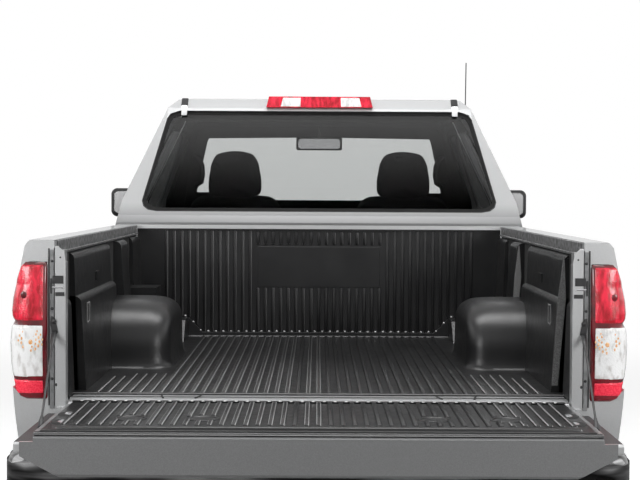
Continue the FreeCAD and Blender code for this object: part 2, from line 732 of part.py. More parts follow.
def make_tailgate():
    """The open gate: a narrow inner pan and a wider, slightly bowed outer skin."""
    y1 = GATE_FRONT_Y
    y0 = y1 - GATE_LEN
    pan = box(-GATE_INNER_HALF, GATE_INNER_HALF, y0 + 8, y1, GATE_TOP_Z - GATE_T, GATE_TOP_Z - GATE_LINER_T)
    low = GATE_TOP_Z - GATE_T
    skin = prism_x([(y1, low), (y1 - 22, low - 10), (y0 + 2 * GATE_LIP_L, low - 20),
                    (y0 + GATE_LIP_L, low - GATE_LIP_DEEP), (y0 + 6, low - GATE_LIP_DEEP),
                    (y0, low - GATE_LIP_DEEP + 8), (y0, low + GATE_SKIN_T - 4), (y1, low + GATE_SKIN_T - 4)],
                   -GATE_HALF, GATE_HALF)
    taper = [(GATE_LIP_HALF, low - GATE_LIP_DEEP - 1), (GATE_HALF + 1, low - 12),
             (GATE_HALF + 1, low - GATE_LIP_DEEP - 1)]
    for corner in both(prism_y(taper, y0 - 10, y0 + 2 * GATE_LIP_L)):
        skin = skin.cut(corner)
    lip = prism_x([(y0, low), (y0, GATE_TOP_Z - 22), (y0 + 14, GATE_TOP_Z - GATE_LINER_T),
                   (y0 + 40, GATE_TOP_Z - GATE_LINER_T), (y0 + 40, low)], -GATE_INNER_HALF, GATE_INNER_HALF)
    gate = pan.fuse(skin).fuse(lip)
    gate = gate.cut(gate_pocket())
    for notch in both(box(GATE_INNER_HALF, GATE_HALF + 10, GATE_PIVOT_Y - 30, 0, 600, 800)):
        gate = gate.cut(notch)
    reach = POST_HALF + 14
    pivot = cyl(-reach, GATE_PIVOT_Y, GATE_PIVOT_Z, X_AXIS, GATE_PIN_R, 2 * reach)
    return gate.fuse(pivot)


def gate_pocket():
    """The hollow between the gate's inner pan and outer skin."""
    y1 = GATE_FRONT_Y
    y0 = y1 - GATE_LEN
    return box(-GATE_INNER_HALF + 60, GATE_INNER_HALF - 60, y0 + 60, y1 - 60,
               GATE_TOP_Z - GATE_T + 4, GATE_TOP_Z - GATE_LINER_T - 4)


def make_gate_liner():
    y1 = GATE_FRONT_Y - 8
    y0 = GATE_FRONT_Y - GATE_LEN + 40
    half = GATE_INNER_HALF - 16
    low, high = GATE_TOP_Z - 3, GATE_TOP_Z - 3 + LINER_RIB_H
    plate = box(-half, half, y0, y1, GATE_TOP_Z - GATE_LINER_T, low)
    edge = box(-half, half, y1 - 12, y1, low, high)
    ridge = box(-half + 30, half - 30, y0 + 14, y0 + 40, low, high)
    ribs = [box(x - LINER_RIB_W / 2, x + LINER_RIB_W / 2, y0 + 60, y1 - 34, low, high) for x in rib_places()]
    plate = plate.fuse([edge, ridge] + ribs)
    for inward in CUP_PLACES:
        for cup in both(cyl(GATE_INNER_HALF - inward, y0 + CUP_IN, low - 2, Z_AXIS, CUP_R, LINER_RIB_H + 4)):
            plate = plate.cut(cup)
    return plate


# Front end

def nose_envelope(inset):
    """The wings, bonnet and nose as one form, lofted through three sections."""
    i = inset

    def section(y, z_low, half_low, half_mid, z_edge, half_edge, z_top):
        side = [
            V(half_low - i, y, z_low),
            V(half_mid - i, y, 0.5 * (z_low + z_edge)),
            V(half_edge + 34 - i, y, z_edge - 20),
            V(half_edge - i, y, z_edge - 0.4 * i),
            V(0.5 * half_edge, y, z_top - 12 - i),
        ]
        other = [V(-p.x, p.y, p.z) for p in reversed(side)]
        return poly(side + [V(0, y, z_top - i)] + other)
    w, low = BODY_HALF, ROCKER_Z + 20
    rear = section(DASH_Y - 4 + 0.1 * i, low, w - 32, w + 4, HOOD_HIGH_Z - 32, w - 62, HOOD_HIGH_Z)
    middle = section(FRONT_AXLE_Y + 60, low, w - 32, w + 10, HOOD_HIGH_Z - 76, w - 76, HOOD_HIGH_Z - 38)
    front = section(NOSE_Y - 230, low, w - 62, w - 28, HOOD_HIGH_Z - 144, w - 136, HOOD_HIGH_Z - 110)
    tip = section(NOSE_Y - 85 - i, low + 10, w - 152, w - 112, HOOD_HIGH_Z - 218, w - 262, HOOD_HIGH_Z - 188)
    return Part.makeLoft([rear, middle, front, tip], True, True)


def hood_zone(grow):
    g = grow
    return prism_z(half_outline([(HOOD_HALF + g, HOOD_Y0 - g), (HOOD_HALF - 30 + g, LAMP_WALL_Y),
                                 (HOOD_HALF - 116 + g, HOOD_Y1 + g)]), 700, 1300)


def make_hood():
    under = box(-CUT, CUT, 0, 2 * CUT, 0, GRILLE_TOP_Z - 66)
    top = nose_envelope(0).cut(nose_envelope(HOOD_T).fuse(under))
    hood = top.common(hood_zone(0))
    hood = max(hood.Solids, key=lambda s: s.Volume)
    for bore in both(cyl(HOOD_HALF - 40, HOOD_PIVOT_Y, HOOD_PIVOT_Z, X_AXIS, HINGE_PIN_R + PIN_CLEAR, 60)):
        hood = hood.cut(bore)
    return hood


def make_fenders():
    """The two front wings with the panel that joins them behind the grille."""
    wing_in = HOOD_HALF - 116
    wall = nose_envelope(0).cut(nose_envelope(WING_T))
    wall = wall.cut(hood_zone(PANEL_GAP))
    wall = wall.cut(box(-CUT, CUT, 0, COWL_Y + 6, 1085, CUT))
    wall = wall.cut(box(-HOOD_HALF + 60, HOOD_HALF - 60, 0, LAMP_WALL_Y, 0, CUT))
    wall = wall.cut(box(-CUT, CUT, LAMP_WALL_Y, 2 * CUT, 0, FRONT_BUMPER_TOP_Z))
    wall = wall.cut(box(-wing_in, wing_in, LAMP_WALL_Y - 200, 2 * CUT, 0, CUT))
    for side in both(cyl(HOOD_HALF - 216, FRONT_AXLE_Y, HUB_Z, X_AXIS, ARCH_R + 20, 600)):
        wall = wall.cut(side)
    for side in both(headlamp_zone(0.3)):
        wall = wall.cut(side)
    rear_trim = box(-CUT, CUT, 0, DOOR_FRONT_Y + PANEL_GAP + 2, 0, CUT)
    wall = wall.cut(rear_trim).cut(cab_envelope(-2, -10))
    wings = [s for s in wall.Solids if s.Volume > 1e5]
    y0, y1 = LAMP_WALL_Y, LAMP_WALL_Y + 30
    apron = box(16 - HOOD_HALF, HOOD_HALF - 16, y0, y1, FRAME_HIGH_Z + 60, GRILLE_TOP_Z + 20)
    apron = apron.cut(box(-330, 330, y0 - 10, y1 + 10, 600, GRILLE_TOP_Z - 66))
    slam = box(-wing_in, wing_in, y0, GRILLE_Y + 10, GRILLE_TOP_Z, GRILLE_TOP_Z + 20)
    ties = both(box(HOOD_HALF - 216, BODY_HALF - 32, y0, y1, 700, 900).common(nose_envelope(6)))
    deep = HOOD_T + WING_T
    gutter = nose_envelope(HOOD_T + 8).cut(nose_envelope(deep))
    gutter = gutter.common(hood_zone(30)).cut(box(-HOOD_HALF + 40, HOOD_HALF - 40, 0, 2 * CUT, 0, CUT))
    rim = nose_envelope(0).cut(nose_envelope(deep)).common(hood_zone(30)).cut(hood_zone(PANEL_GAP))
    trim = box(-CUT, CUT, COWL_Y + 20, y0 + 20, 880, CUT)
    sweep = box(-HOOD_HALF - PANEL_GAP, HOOD_HALF + PANEL_GAP, 0, HOOD_PIVOT_Y + 60, 800, CUT)
    gutter = gutter.cut(sweep)
    rim = rim.cut(sweep)
    inner = box(HOOD_HALF - 40, HOOD_HALF - 16, COWL_Y + 20, y0, HUB_Z + ARCH_R + 26, 1060)
    inner = both(inner.common(nose_envelope(HOOD_T + 10)))
    pins = both(cyl(HOOD_HALF - 30, HOOD_PIVOT_Y, HOOD_PIVOT_Z, X_AXIS, HINGE_PIN_R, 60))
    result = apron.fuse(slam)
    for piece in wings + ties + inner + pins + [gutter.common(trim), rim.common(trim)]:
        result = result.fuse(piece)
    return result


def headlamp_zone(grow):
    g = grow
    x0, x1, z0, z1 = HEADLAMP_IN_X, HEADLAMP_OUT_X, HEADLAMP_Z0, HEADLAMP_Z1
    return prism_y([(x0 - g, z0 - g), (x1 + g, z0 + 40 - g), (x1 + g, z1 + g), (x0 - g, z1 + g)],
                   LAMP_WALL_Y + 40 - g, NOSE_Y + 40)


def make_headlamps():
    shell = nose_envelope(0).cut(nose_envelope(90)).common(headlamp_zone(0))
    lamp = [s for s in shell.Solids if s.CenterOfMass.x > 0]
    lamp = max(lamp, key=lambda s: s.Volume)
    return both(lamp)


def make_grille():
    """A chromed surround with level bars behind two upright posts."""
    y0, z0, z1 = GRILLE_Y, GRILLE_LOW_Z, GRILLE_TOP_Z
    half, edge = GRILLE_HALF, GRILLE_FRAME
    frame = box(-half, half, y0, y0 + 70, z0, z1)
    frame = frame.cut(box(-half + edge, half - edge, y0 - 10, y0 + 90, z0 + edge, z1 - edge))
    for k in range(GRILLE_BARS):
        z = z0 + 46 + k * GRILLE_PITCH
        frame = frame.fuse(box(-half + 17, half - 17, y0 + 10, y0 + 50, z, z + 12))
    for x in (-half / 3, half / 3):
        frame = frame.fuse(box(x - 16, x + 16, y0, y0 + 66, z0 + 5, z1 - 5))
    return frame


def make_front_bumper():
    """A bar that wraps around the nose, with an air opening and a shelf under the grille."""
    w, back = BODY_HALF - 10, NOSE_Y - 290
    plan = [(0, NOSE_Y), (w - 402, NOSE_Y - 14), (w - 142, NOSE_Y - 90), (w - 22, NOSE_Y - 240), (w, back),
            (w - 32, back), (w - 62, NOSE_Y - 240), (w - 182, NOSE_Y - 150), (w - 422, NOSE_Y - 84),
            (0, NOSE_Y - 70)]
    outline = plan + [(-x, y) for x, y in reversed(plan) if x > 0]
    beam = prism_z(outline, FRONT_BUMPER_LOW_Z, FRONT_BUMPER_TOP_Z)
    beam = beam.cut(box(-420, 420, back, NOSE_Y + 10, FRONT_BUMPER_LOW_Z + 65, FRONT_BUMPER_TOP_Z - 80))
    shelf = box(-GRILLE_HALF, GRILLE_HALF, GRILLE_Y + 10, NOSE_Y - 60, FRONT_BUMPER_TOP_Z - 30, GRILLE_LOW_Z)
    beam = beam.fuse(shelf)
    horn = box(FRONT_RAIL_IN_X + 4, FRONT_RAIL_OUT_X - 4, FRAME_FRONT_Y, NOSE_Y - 75, 460, 540)
    for side in both(horn):
        beam = beam.fuse(side)
    return beam


# Running gear

def make_frame():
    """The ladder frame: two rails with a hump over the rear axle and its cross members."""
    low, high, k = FRAME_LOW_Z, FRAME_HIGH_Z, KICK
    back, front = BUMPER_BACK_Y, FRAME_FRONT_Y
    side = [(back, low + k + 20), (1360, low + k + 20), (1680, low), (3760, low), (3960, low + 60),
            (front, low + 60), (front, high + 60), (3960, high + 60), (3750, high), (1740, high),
            (1420, high + k), (back, high + k)]
    plan = [(RAIL_IN_X, back), (RAIL_IN_X, 2900), (FRONT_RAIL_IN_X, 3500), (FRONT_RAIL_IN_X, front),
            (FRONT_RAIL_OUT_X, front), (FRONT_RAIL_OUT_X, 3500), (RAIL_OUT_X, 2900), (RAIL_OUT_X, back)]
    rail = prism_x(side, 0, 600).common(prism_z(plan, 0, 900))
    frame = rail.fuse(mirrored(rail))
    members = [(-40, low + k + 24, 50, 80), (880, low + k + 32, 60, 36), (1600, low + 88, 60, 70),
               (2300, low, 70, 30), (2960, low, 70, 34), (3250, low, 60, 14),
               (front - 100, low + 80, 80, 80)]
    for y, z, d, h in members:
        reach = FRONT_RAIL_IN_X + 5 if y > 3400 else RAIL_IN_X + 2 - max(0, (y + d - 2900) / 15)
        frame = frame.fuse(box(-reach, reach, y, y + d, z, z + h))
    for y in (2080, 3400):
        inner_x = RAIL_OUT_X - 30 if y < 3000 else FRONT_RAIL_OUT_X
        for side_bar in both(box(inner_x, BODY_HALF - 272, y, y + 60, 430, CAB_FLOOR_Z)):
            frame = frame.fuse(side_bar)
    for y in (SPRING_EYE_Y0, SPRING_EYE_Y1):
        for hanger in both(spring_hanger(y)):
            frame = frame.fuse(hanger)
    return frame.removeSplitter()


def spring_hanger(y):
    """A bracket on the rail's outer side with the pin that a spring eye turns on."""
    z = SPRING_EYE_Z
    arm = box(RAIL_OUT_X - 4, SPRING_X - SPRING_W / 2 - 4, y - 24, y + 24, z - 24, z + 40)
    pin = cyl(RAIL_OUT_X, y, z, X_AXIS, SPRING_PIN_R, SPRING_X + SPRING_W / 2 + 6 - RAIL_OUT_X)
    return arm.fuse(pin)


def make_tyre(x, y):
    """A tyre turned from its half section, crowned across the tread and bulged at the walls."""
    r, w, k = TYRE_D / 2, TYRE_W / 2, TYRE_SHOULDER
    bead, seat = RIM_D / 2, RIM_W / 2
    half = [(w - k, r), (w - 0.3 * k, r - 0.3 * k), (w - 2, r - 1.2 * k), (w, 0.5 * (r + bead)),
            (w - 8, bead + 24), (seat, bead)]
    outline = half + [(-u, v) for u, v in reversed(half)]
    tyre = Part.Face(poly([V(u, 0, v) for u, v in outline])).revolve(V(0, 0, 0), X_AXIS, 360)
    tyre.translate(V(x, y, HUB_Z))
    return tyre


def make_rim(x, y):
    """A barrel with six spokes and a bored hub; the face looks outwards."""
    out = 1 if x > 0 else -1
    r, w = RIM_D / 2, RIM_W / 2
    barrel = cyl(-w, 0, 0, X_AXIS, r, 2 * w).cut(cyl(-w - 1, 0, 0, X_AXIS, r - RIM_WALL, 2 * w + 2))
    face_x = w - RIM_FACE_IN
    hub = cyl(face_x - RIM_DISC, 0, 0, X_AXIS, 78, RIM_DISC + 24)
    rim = barrel.fuse(hub)
    spoke = prism_x([(-34, 50), (34, 50), (46, r - 5), (-46, r - 5)], face_x - 4, face_x + 26)
    for k in range(RIM_SPOKES):
        turned = spoke.copy()
        turned.rotate(V(0, 0, 0), X_AXIS, 360 / RIM_SPOKES * k)
        rim = rim.fuse(turned)
    rim = rim.cut(cyl(-w, 0, 0, X_AXIS, HUB_BORE_D / 2, 2 * w + 10))
    if out < 0:
        rim.rotate(V(0, 0, 0), Z_AXIS, 180)
    rim.translate(V(x, y, HUB_Z))
    return rim


def make_knuckle():
    """The right-hand upright: spindle, kingpin boss and steering arm."""
    spindle = cyl(KINGPIN_X, FRONT_AXLE_Y, HUB_Z, X_AXIS, SPINDLE_R, FACE_X + 16 - KINGPIN_X)
    flange = cyl(KINGPIN_X - 8, FRONT_AXLE_Y, HUB_Z, X_AXIS, 62, 46)
    boss = cyl(KINGPIN_X, FRONT_AXLE_Y, HUB_Z - 96, Z_AXIS, 26, 192)
    arm = box(KINGPIN_X - 14, KINGPIN_X + 14, FRONT_AXLE_Y - 128, FRONT_AXLE_Y, HUB_Z - 62, HUB_Z - 36)
    return spindle.fuse(flange).fuse(boss).fuse(arm).removeSplitter()


def make_front_suspension():
    """Upper and lower arms, the cross member and the spring struts."""
    y, z = FRONT_AXLE_Y, HUB_Z
    parts = []
    reach = KINGPIN_X + 20
    lower = prism_z([(FRONT_RAIL_OUT_X - 40, y - 150), (FRONT_RAIL_OUT_X - 40, y + 130), (reach, y + 26),
                     (reach, y - 26)], z - 132, z - 96 - 0.5)
    upper = prism_z([(FRONT_RAIL_OUT_X + 4, y - 90), (FRONT_RAIL_OUT_X + 4, y + 80), (reach, y + 22),
                     (reach, y - 22)], z + 96 + 0.5, z + 124)
    parts.append(lower)
    parts.append(upper)
    whole = box(-FRONT_RAIL_OUT_X, FRONT_RAIL_OUT_X, y - 160, y + 140, z - 132, FRAME_LOW_Z + 60)
    for piece in parts:
        for side in both(piece):
            whole = whole.fuse(side)
    for side in both(box(FRONT_RAIL_OUT_X, FRONT_RAIL_OUT_X + 36, y - 90, y + 80, z - 132, z + 124)):
        whole = whole.fuse(side)
    return whole


def make_rear_axle():
    y, z = REAR_AXLE_Y, HUB_Z
    axle = cyl(-FACE_X - 16, y, z, X_AXIS, SPINDLE_R, 2 * FACE_X + 32)
    tube = cyl(-WHEEL_X + 150, y, z, X_AXIS, AXLE_TUBE_R, 2 * WHEEL_X - 300)
    diff = Part.makeSphere(DIFF_R, V(DIFF_X, y, z))
    nose = Part.makeCone(90, 52, 190, V(DIFF_X, y + 70, z), Y_AXIS)
    axle = axle.fuse(tube).fuse(diff).fuse(nose)
    for side in both(cyl(WHEEL_X - 150, y, z, X_AXIS, 120, 60)):
        axle = axle.fuse(side)
    return axle


def make_springs():
    """A pack of leaf springs on each side; the longest leaf ends in two eyes."""
    centre_z = SPRING_SEAT_Z + LEAF_T * LEAVES + SPRING_R
    pack = None
    for k in range(LEAVES):
        leaf = curved_strip(REAR_AXLE_Y, centre_z, SPRING_R + LEAF_T * k, SPRING_HALF - LEAF_STEP * k)
        pack = leaf if pack is None else pack.fuse(leaf)
    for y in (SPRING_EYE_Y0, SPRING_EYE_Y1):
        eye = cyl(SPRING_X - SPRING_W / 2, y, SPRING_EYE_Z, X_AXIS, 20, SPRING_W)
        pack = pack.fuse(eye)
        pack = pack.cut(cyl(SPRING_X - SPRING_W, y, SPRING_EYE_Z, X_AXIS, SPRING_PIN_R + PIN_CLEAR,
                            2 * SPRING_W))
    return both(pack)


def curved_strip(y, z, radius, reach):
    """One leaf: a strip of the leaf's thickness that sags under the centre (y, z)."""
    def at(r, side):
        a = side * math.asin(reach / (radius + LEAF_T))
        return V(SPRING_X - SPRING_W / 2, y + r * math.sin(a), z - r * math.cos(a))
    inner, outer = radius, radius + LEAF_T
    top = Part.Arc(at(inner, -1), at(inner, 0), at(inner, 1)).toShape()
    low = Part.Arc(at(outer, 1), at(outer, 0), at(outer, -1)).toShape()
    ends = [Part.makeLine(at(inner, 1), at(outer, 1)), Part.makeLine(at(outer, -1), at(inner, -1))]
    return Part.Face(Part.Wire([top, ends[0], low, ends[1]])).extrude(V(SPRING_W, 0, 0))


def make_engine():
    block = box(-300, 300, ENGINE_BACK_Y, ENGINE_FRONT_Y, 440, 900)
    feet_y = FRONT_AXLE_Y + 60
    feet = box(-FRONT_RAIL_IN_X, FRONT_RAIL_IN_X, feet_y, feet_y + 70, 470, 530)
    return block.fuse(feet)


def make_driveline():
    """Gearbox, transfer box and the propeller shaft to the rear axle."""
    box_end = ENGINE_BACK_Y - 900
    gearbox = Part.makeCone(140, 70, ENGINE_BACK_Y - box_end, V(0, ENGINE_BACK_Y, SHAFT_Z), V(0, -1, 0))
    shaft_a = V(0, box_end, SHAFT_Z)
    shaft_b = V(DIFF_X, REAR_AXLE_Y + 262.2, HUB_Z)
    run = shaft_b.sub(shaft_a)
    shaft = Part.makeCylinder(SHAFT_R, run.Length, shaft_a, run)
    return gearbox.fuse(shaft)


def make_exhaust():
    x, out = PIPE_X, PIPE_OUT_X
    low = FRAME_LOW_Z - 34
    over, tail = HUB_Z + 178, HUB_Z + 37
    pts = [V(x, ENGINE_BACK_Y - 0.3, 470), V(x, ENGINE_BACK_Y - 80, 470), V(x, 3700, low), V(x, 2300, low),
           V(x, 1660, low + 30), V(x + 50, 1400, over), V(x + 80, 850, over), V(x + 80, 740, tail),
           V(x + 190, 660, tail), V(out, 520, tail), V(out, -30, tail)]
    run = pipe(pts, PIPE_R)
    muffler = Part.makeCylinder(MUFFLER_R, 440, V(x, 1770, low + 40), Y_AXIS)
    return run.fuse(muffler)


def make_fuel_tank():
    """The tank sits against the left frame rail, clear of the propeller shaft."""
    return soft_box(-RAIL_IN_X, -SHAFT_R - 26, 1740, 2260, 330, 480, 30)


def make_spare():
    """The spare wheel slung flat under the bed, behind the axle."""
    tyre = make_tyre(0, 0)
    tyre.translate(V(0, 0, -HUB_Z))
    plug = cyl(-30, 0, 0, X_AXIS, RIM_D / 2 + 1, 60)
    spare = tyre.fuse(plug)
    spare.rotate(V(0, 0, 0), Y_AXIS, 90)
    spare.translate(V(0, SPARE_Y, SPARE_Z))
    rod = cyl(0, SPARE_Y, SPARE_Z, Z_AXIS, 8, FRAME_HIGH_Z + KICK - SPARE_Z)
    return spare.fuse(rod)


# Inside the cab

def make_seats():
    """Two front seats: cushion, leaning back, base and a head restraint on two posts."""
    seats = []
    y = DOOR_SPLIT_Y
    for side in (1, -1):
        cx = SEAT_X * side
        cushion = soft_box(cx - SEAT_HALF + 43, cx + SEAT_HALF - 43, y + 40, y + 630, 698, 835, 45)
        back = soft_box(cx - SEAT_HALF, cx + SEAT_HALF, y - 20, y + 150, 790, 1330, 55)
        back.rotate(V(cx, y + 60, 800), X_AXIS, 12)
        rest = soft_box(cx - REST_HALF, cx + REST_HALF, y - 142, y - 42, REST_Z0, REST_Z0 + REST_H, 42)
        posts = [cyl(cx + d, y - 88, REST_Z0 - 106, Z_AXIS, 7, 150) for d in (-70, 70)]
        base = box(cx - 170, cx + 170, y + 140, y + 590, CAB_FLOOR_Z + FLOOR_T, 700)
        seat = cushion.fuse(back).fuse(base).fuse(rest)
        for post in posts:
            seat = seat.fuse(post)
        seats.append(seat)
    return seats


def make_rear_seats():
    """Two small jump seats against the cab's rear wall."""
    seats = []
    y, w = CAB_REAR_Y + 50, REAR_SEAT_HALF
    for side in (1, -1):
        cx = REAR_SEAT_X * side
        pad = soft_box(cx - w, cx + w, y + 15, y + 315, 800, 900, 30)
        back = soft_box(cx - w, cx + w, y, y + 90, 880, 1200, 30)
        base = box(cx - w + 30, cx + w - 30, y + 15, y + 285, CAB_FLOOR_Z + FLOOR_T, 830)
        seats.append(pad.fuse(back).fuse(base))
    return seats


def make_dashboard():
    """The dashboard across the cab, the console on the tunnel and the cowl over the dials."""
    wall_y, y = DASH_Y - CAB_WALL, DASH_Y - 300
    side = [(y + 60, 820), (y, 900), (y, 1080), (y + 80, 1150), (y + 220, 1160), (wall_y, 960), (wall_y, 820)]
    half = POST_FACE_X - 45
    dash = prism_x(side, -half, half)
    console = box(-110, 110, y - 510, y + 120, TUNNEL_TOP_Z, 840)
    cowl = prism_x([(y, 1060), (y + 30, 1190), (y + 160, 1190), (y + 210, 1140)], STEER_X - STEER_R,
                   STEER_X + STEER_R)
    sleeve = Part.makeCylinder(40, 90, STEER_C.add(STEER_AXIS * -(COLUMN_END + 90.3)), STEER_AXIS)
    return dash.fuse(console).fuse(cowl).fuse(sleeve)


def make_steering_wheel():
    rim = Part.makeTorus(STEER_R, STEER_RIM, STEER_C, STEER_AXIS)
    hub = Part.makeCylinder(62, 52, STEER_C.add(STEER_AXIS * -40), STEER_AXIS)
    wheel = rim.fuse(hub)
    frame = FreeCAD.Rotation(Z_AXIS, STEER_AXIS)
    for deg in (0, 180, 270):
        spoke = Part.makeBox(STEER_R, 36, 14, V(0, -18, -20))
        spoke.rotate(V(0, 0, 0), Z_AXIS, deg)
        spoke.Placement = FreeCAD.Placement(STEER_C, frame).multiply(spoke.Placement)
        wheel = wheel.fuse(spoke)
    column = Part.makeCylinder(20, COLUMN_END - 30, STEER_C.add(STEER_AXIS * -COLUMN_END), STEER_AXIS)
    return wheel.fuse(column)


def make_inner_mirror():
    y = DASH_Y - 560
    plate = soft_box(-120, 120, y, y + 24, 1566, 1634, 10)
    stem = cyl(0, y + 12, 1620, V(0, 0.25, 1), 7, 70.5)
    return plate.fuse(stem)


def make_door_mirror():
    w, y = BODY_HALF, DOOR_FRONT_Y - 185
    head = soft_box(w + 50, w + 230, y, y + 95, 1208, 1364, 34)
    arm = prism_y([(w - 17.6, 1150), (w + 78, 1197), (w + 78, 1230), (w - 22.4, 1190)], y + 30, y + 91)
    return head.fuse(arm)


def make_cables():
    """The two straps that carry the open tailgate."""
    a = V(POST_HALF + 30, POST_REAR_Y - 5, 930)
    b = V(GATE_INNER_HALF + 4.3, -450, GATE_TOP_Z - 20)
    run = b.sub(a)
    cable = Part.makeCylinder(4, run.Length, a, run)
    return both(cable)


def make_antenna():
    x, y = BODY_HALF - 74, COWL_Y + 100
    mast = Part.makeCylinder(3, 984, V(x, y, 1110), V(0.004, -0.05, 1))
    foot = Part.makeCone(16, 8, 22, V(x, y, 1106), Z_AXIS)
    return mast.fuse(foot)


def make_rear_bumper():
    """A bar with a step in its middle, whose ends wrap around the corners of the bed."""
    back, w = BUMPER_BACK_Y, BUMPER_HALF
    face = back - 76
    plan = [(0, face), (STEP_HALF + 40, face), (w - 95, face + 22), (w - 22, back + 6), (w, back + 60),
            (w, BUMPER_WRAP_Y), (w - BUMPER_T, BUMPER_WRAP_Y), (w - BUMPER_T, back + 28),
            (w - 150, back + 14), (STEP_HALF + 40, back), (0, back)]
    outline = plan + [(-x, y) for x, y in reversed(plan) if x > 0]
    bar = prism_z(outline, BUMPER_LOW_Z, BUMPER_TOP_Z)
    step = box(-STEP_HALF, STEP_HALF, face + 10, back - 2, BUMPER_TOP_Z, BUMPER_TOP_Z + 12)
    pocket = box(-90, 90, face - 10, back - 10, BUMPER_LOW_Z + BALL_PLATE_T, BUMPER_TOP_Z + 28)
    hole = cyl(0, BALL_HOLE_Y, BUMPER_LOW_Z - 10, Z_AXIS, BALL_HOLE_R, 40)
    return bar.fuse(step).cut(pocket).cut(hole)


def build():
    """All the pieces, by name, in the building frame."""
    outer = cab_envelope(0, 0)
    inner = cabin_space()
    side_wall = outer.cut(inner)
    nodes = {}
    nodes["frame_rails"] = make_frame()
    nodes["cab_shell"] = make_cab(outer, inner)
    nodes["cab_floor"] = make_cab_floor()
    door = make_door(FRONT_DOOR, side_wall, FRONT_HINGE_Y, 1, FRONT_WINDOW)
    door = door.cut(edge_bevel(DOOR_SPLIT_Y + PANEL_GAP, -1, 14))
    half = make_door(HALF_DOOR, side_wall, REAR_HINGE_Y, -1, HALF_WINDOW)
    half = half.cut(edge_bevel(DOOR_SPLIT_Y, 1, 26))
    nodes["front_door_right"] = door
    nodes["front_door_left"] = mirrored(door)
    nodes["half_door_right"] = half
    nodes["half_door_left"] = mirrored(half)
    pane = side_glass(FRONT_WINDOW)
    nodes["front_glass_right"] = pane
    nodes["front_glass_left"] = mirrored(pane)
    pane = side_glass(HALF_WINDOW)
    nodes["half_glass_right"] = pane
    nodes["half_glass_left"] = mirrored(pane)
    nodes["windshield"] = make_glass(windshield_hole(0.3), DASH_Y - 640, 2 * CUT)
    nodes["rear_glass"] = make_glass(rear_glass_hole(0.3), 0, CAB_REAR_Y + 245)
    nodes["bed_box"] = make_bed()
    nodes["bed_liner"] = make_liner()
    nodes["tail_lamps"] = make_tail_lamps()
    nodes["stop_lamp"] = make_stop_lamp()
    nodes["tailgate"] = make_tailgate()
    nodes["tailgate_liner"] = make_gate_liner()
    nodes["tailgate_cables"] = make_cables()
    nodes["hood"] = make_hood()
    nodes["front_wings"] = make_fenders()
    nodes["headlamps"] = make_headlamps()
    nodes["grille"] = make_grille()
    nodes["front_bumper"] = make_front_bumper()
    nodes["rear_bumper"] = make_rear_bumper()
    nodes["engine"] = make_engine()
    nodes["driveline"] = make_driveline()
    nodes["rear_axle"] = make_rear_axle()
    nodes["leaf_springs"] = make_springs()
    nodes["front_suspension"] = make_front_suspension()
    nodes["exhaust"] = make_exhaust()
    nodes["fuel_tank"] = make_fuel_tank()
    nodes["spare_wheel"] = make_spare()
    nodes["antenna"] = make_antenna()
    nodes["front_seats"] = make_seats()
    nodes["rear_seats"] = make_rear_seats()
    nodes["dashboard"] = make_dashboard()
    nodes["inner_mirror"] = make_inner_mirror()
    nodes["steering_wheel"] = make_steering_wheel()
    mirror = make_door_mirror()
    nodes["door_mirror_right"] = mirror
    nodes["door_mirror_left"] = mirrored(mirror)
    knuckle = make_knuckle()
    nodes["knuckle_right"] = knuckle
    nodes["knuckle_left"] = mirrored(knuckle)
    places = {"front_right": (WHEEL_X, FRONT_AXLE_Y), "front_left": (-WHEEL_X, FRONT_AXLE_Y),
              "rear_right": (WHEEL_X, REAR_AXLE_Y), "rear_left": (-WHEEL_X, REAR_AXLE_Y)}
    for name, (x, y) in places.items():
        nodes["tyre_" + name] = make_tyre(x, y)
        nodes["rim_" + name] = make_rim(x, y)
    return nodes


def write(nodes):
    """Centres the truck over the origin and writes one file for each piece."""
    os.makedirs("parts", exist_ok=True)
    tail_y = GATE_FRONT_Y - GATE_LEN
    shift = V(0, -0.5 * (NOSE_Y + tail_y), 0)
    for name, shape in nodes.items():
        if isinstance(shape, list):
            shape = Part.makeCompound(shape)
        elif shape.ShapeType == "Compound" and len(shape.Solids) == 1:
            shape = shape.Solids[0]
        shape.translate(shift)
        shape.exportStep("parts/" + name + ".step")
        print(name, len(shape.Solids), round(shape.Volume / 1e6, 2), shape.isValid())
    print("shift", shift.y)


write(build())
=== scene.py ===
# %% [markdown]
# # A pickup truck, seen over its open tailgate
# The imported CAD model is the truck's frame: its panels, glass, wheels and hinges are already in place.
# This lesson dresses that frame. It gives every CAD part a finish, and it makes the pieces that need
# more shape than a CAD solid: the ribbed bed liner, the lamps, the seats, the tyre treads and the trim.
# Everything is in metres. The truck points along +Y, its right side is +X, and the ground is at z = 0.

# %% Load the frame
import json
import math
import bmesh
import bpy
from mathutils import Matrix, Vector

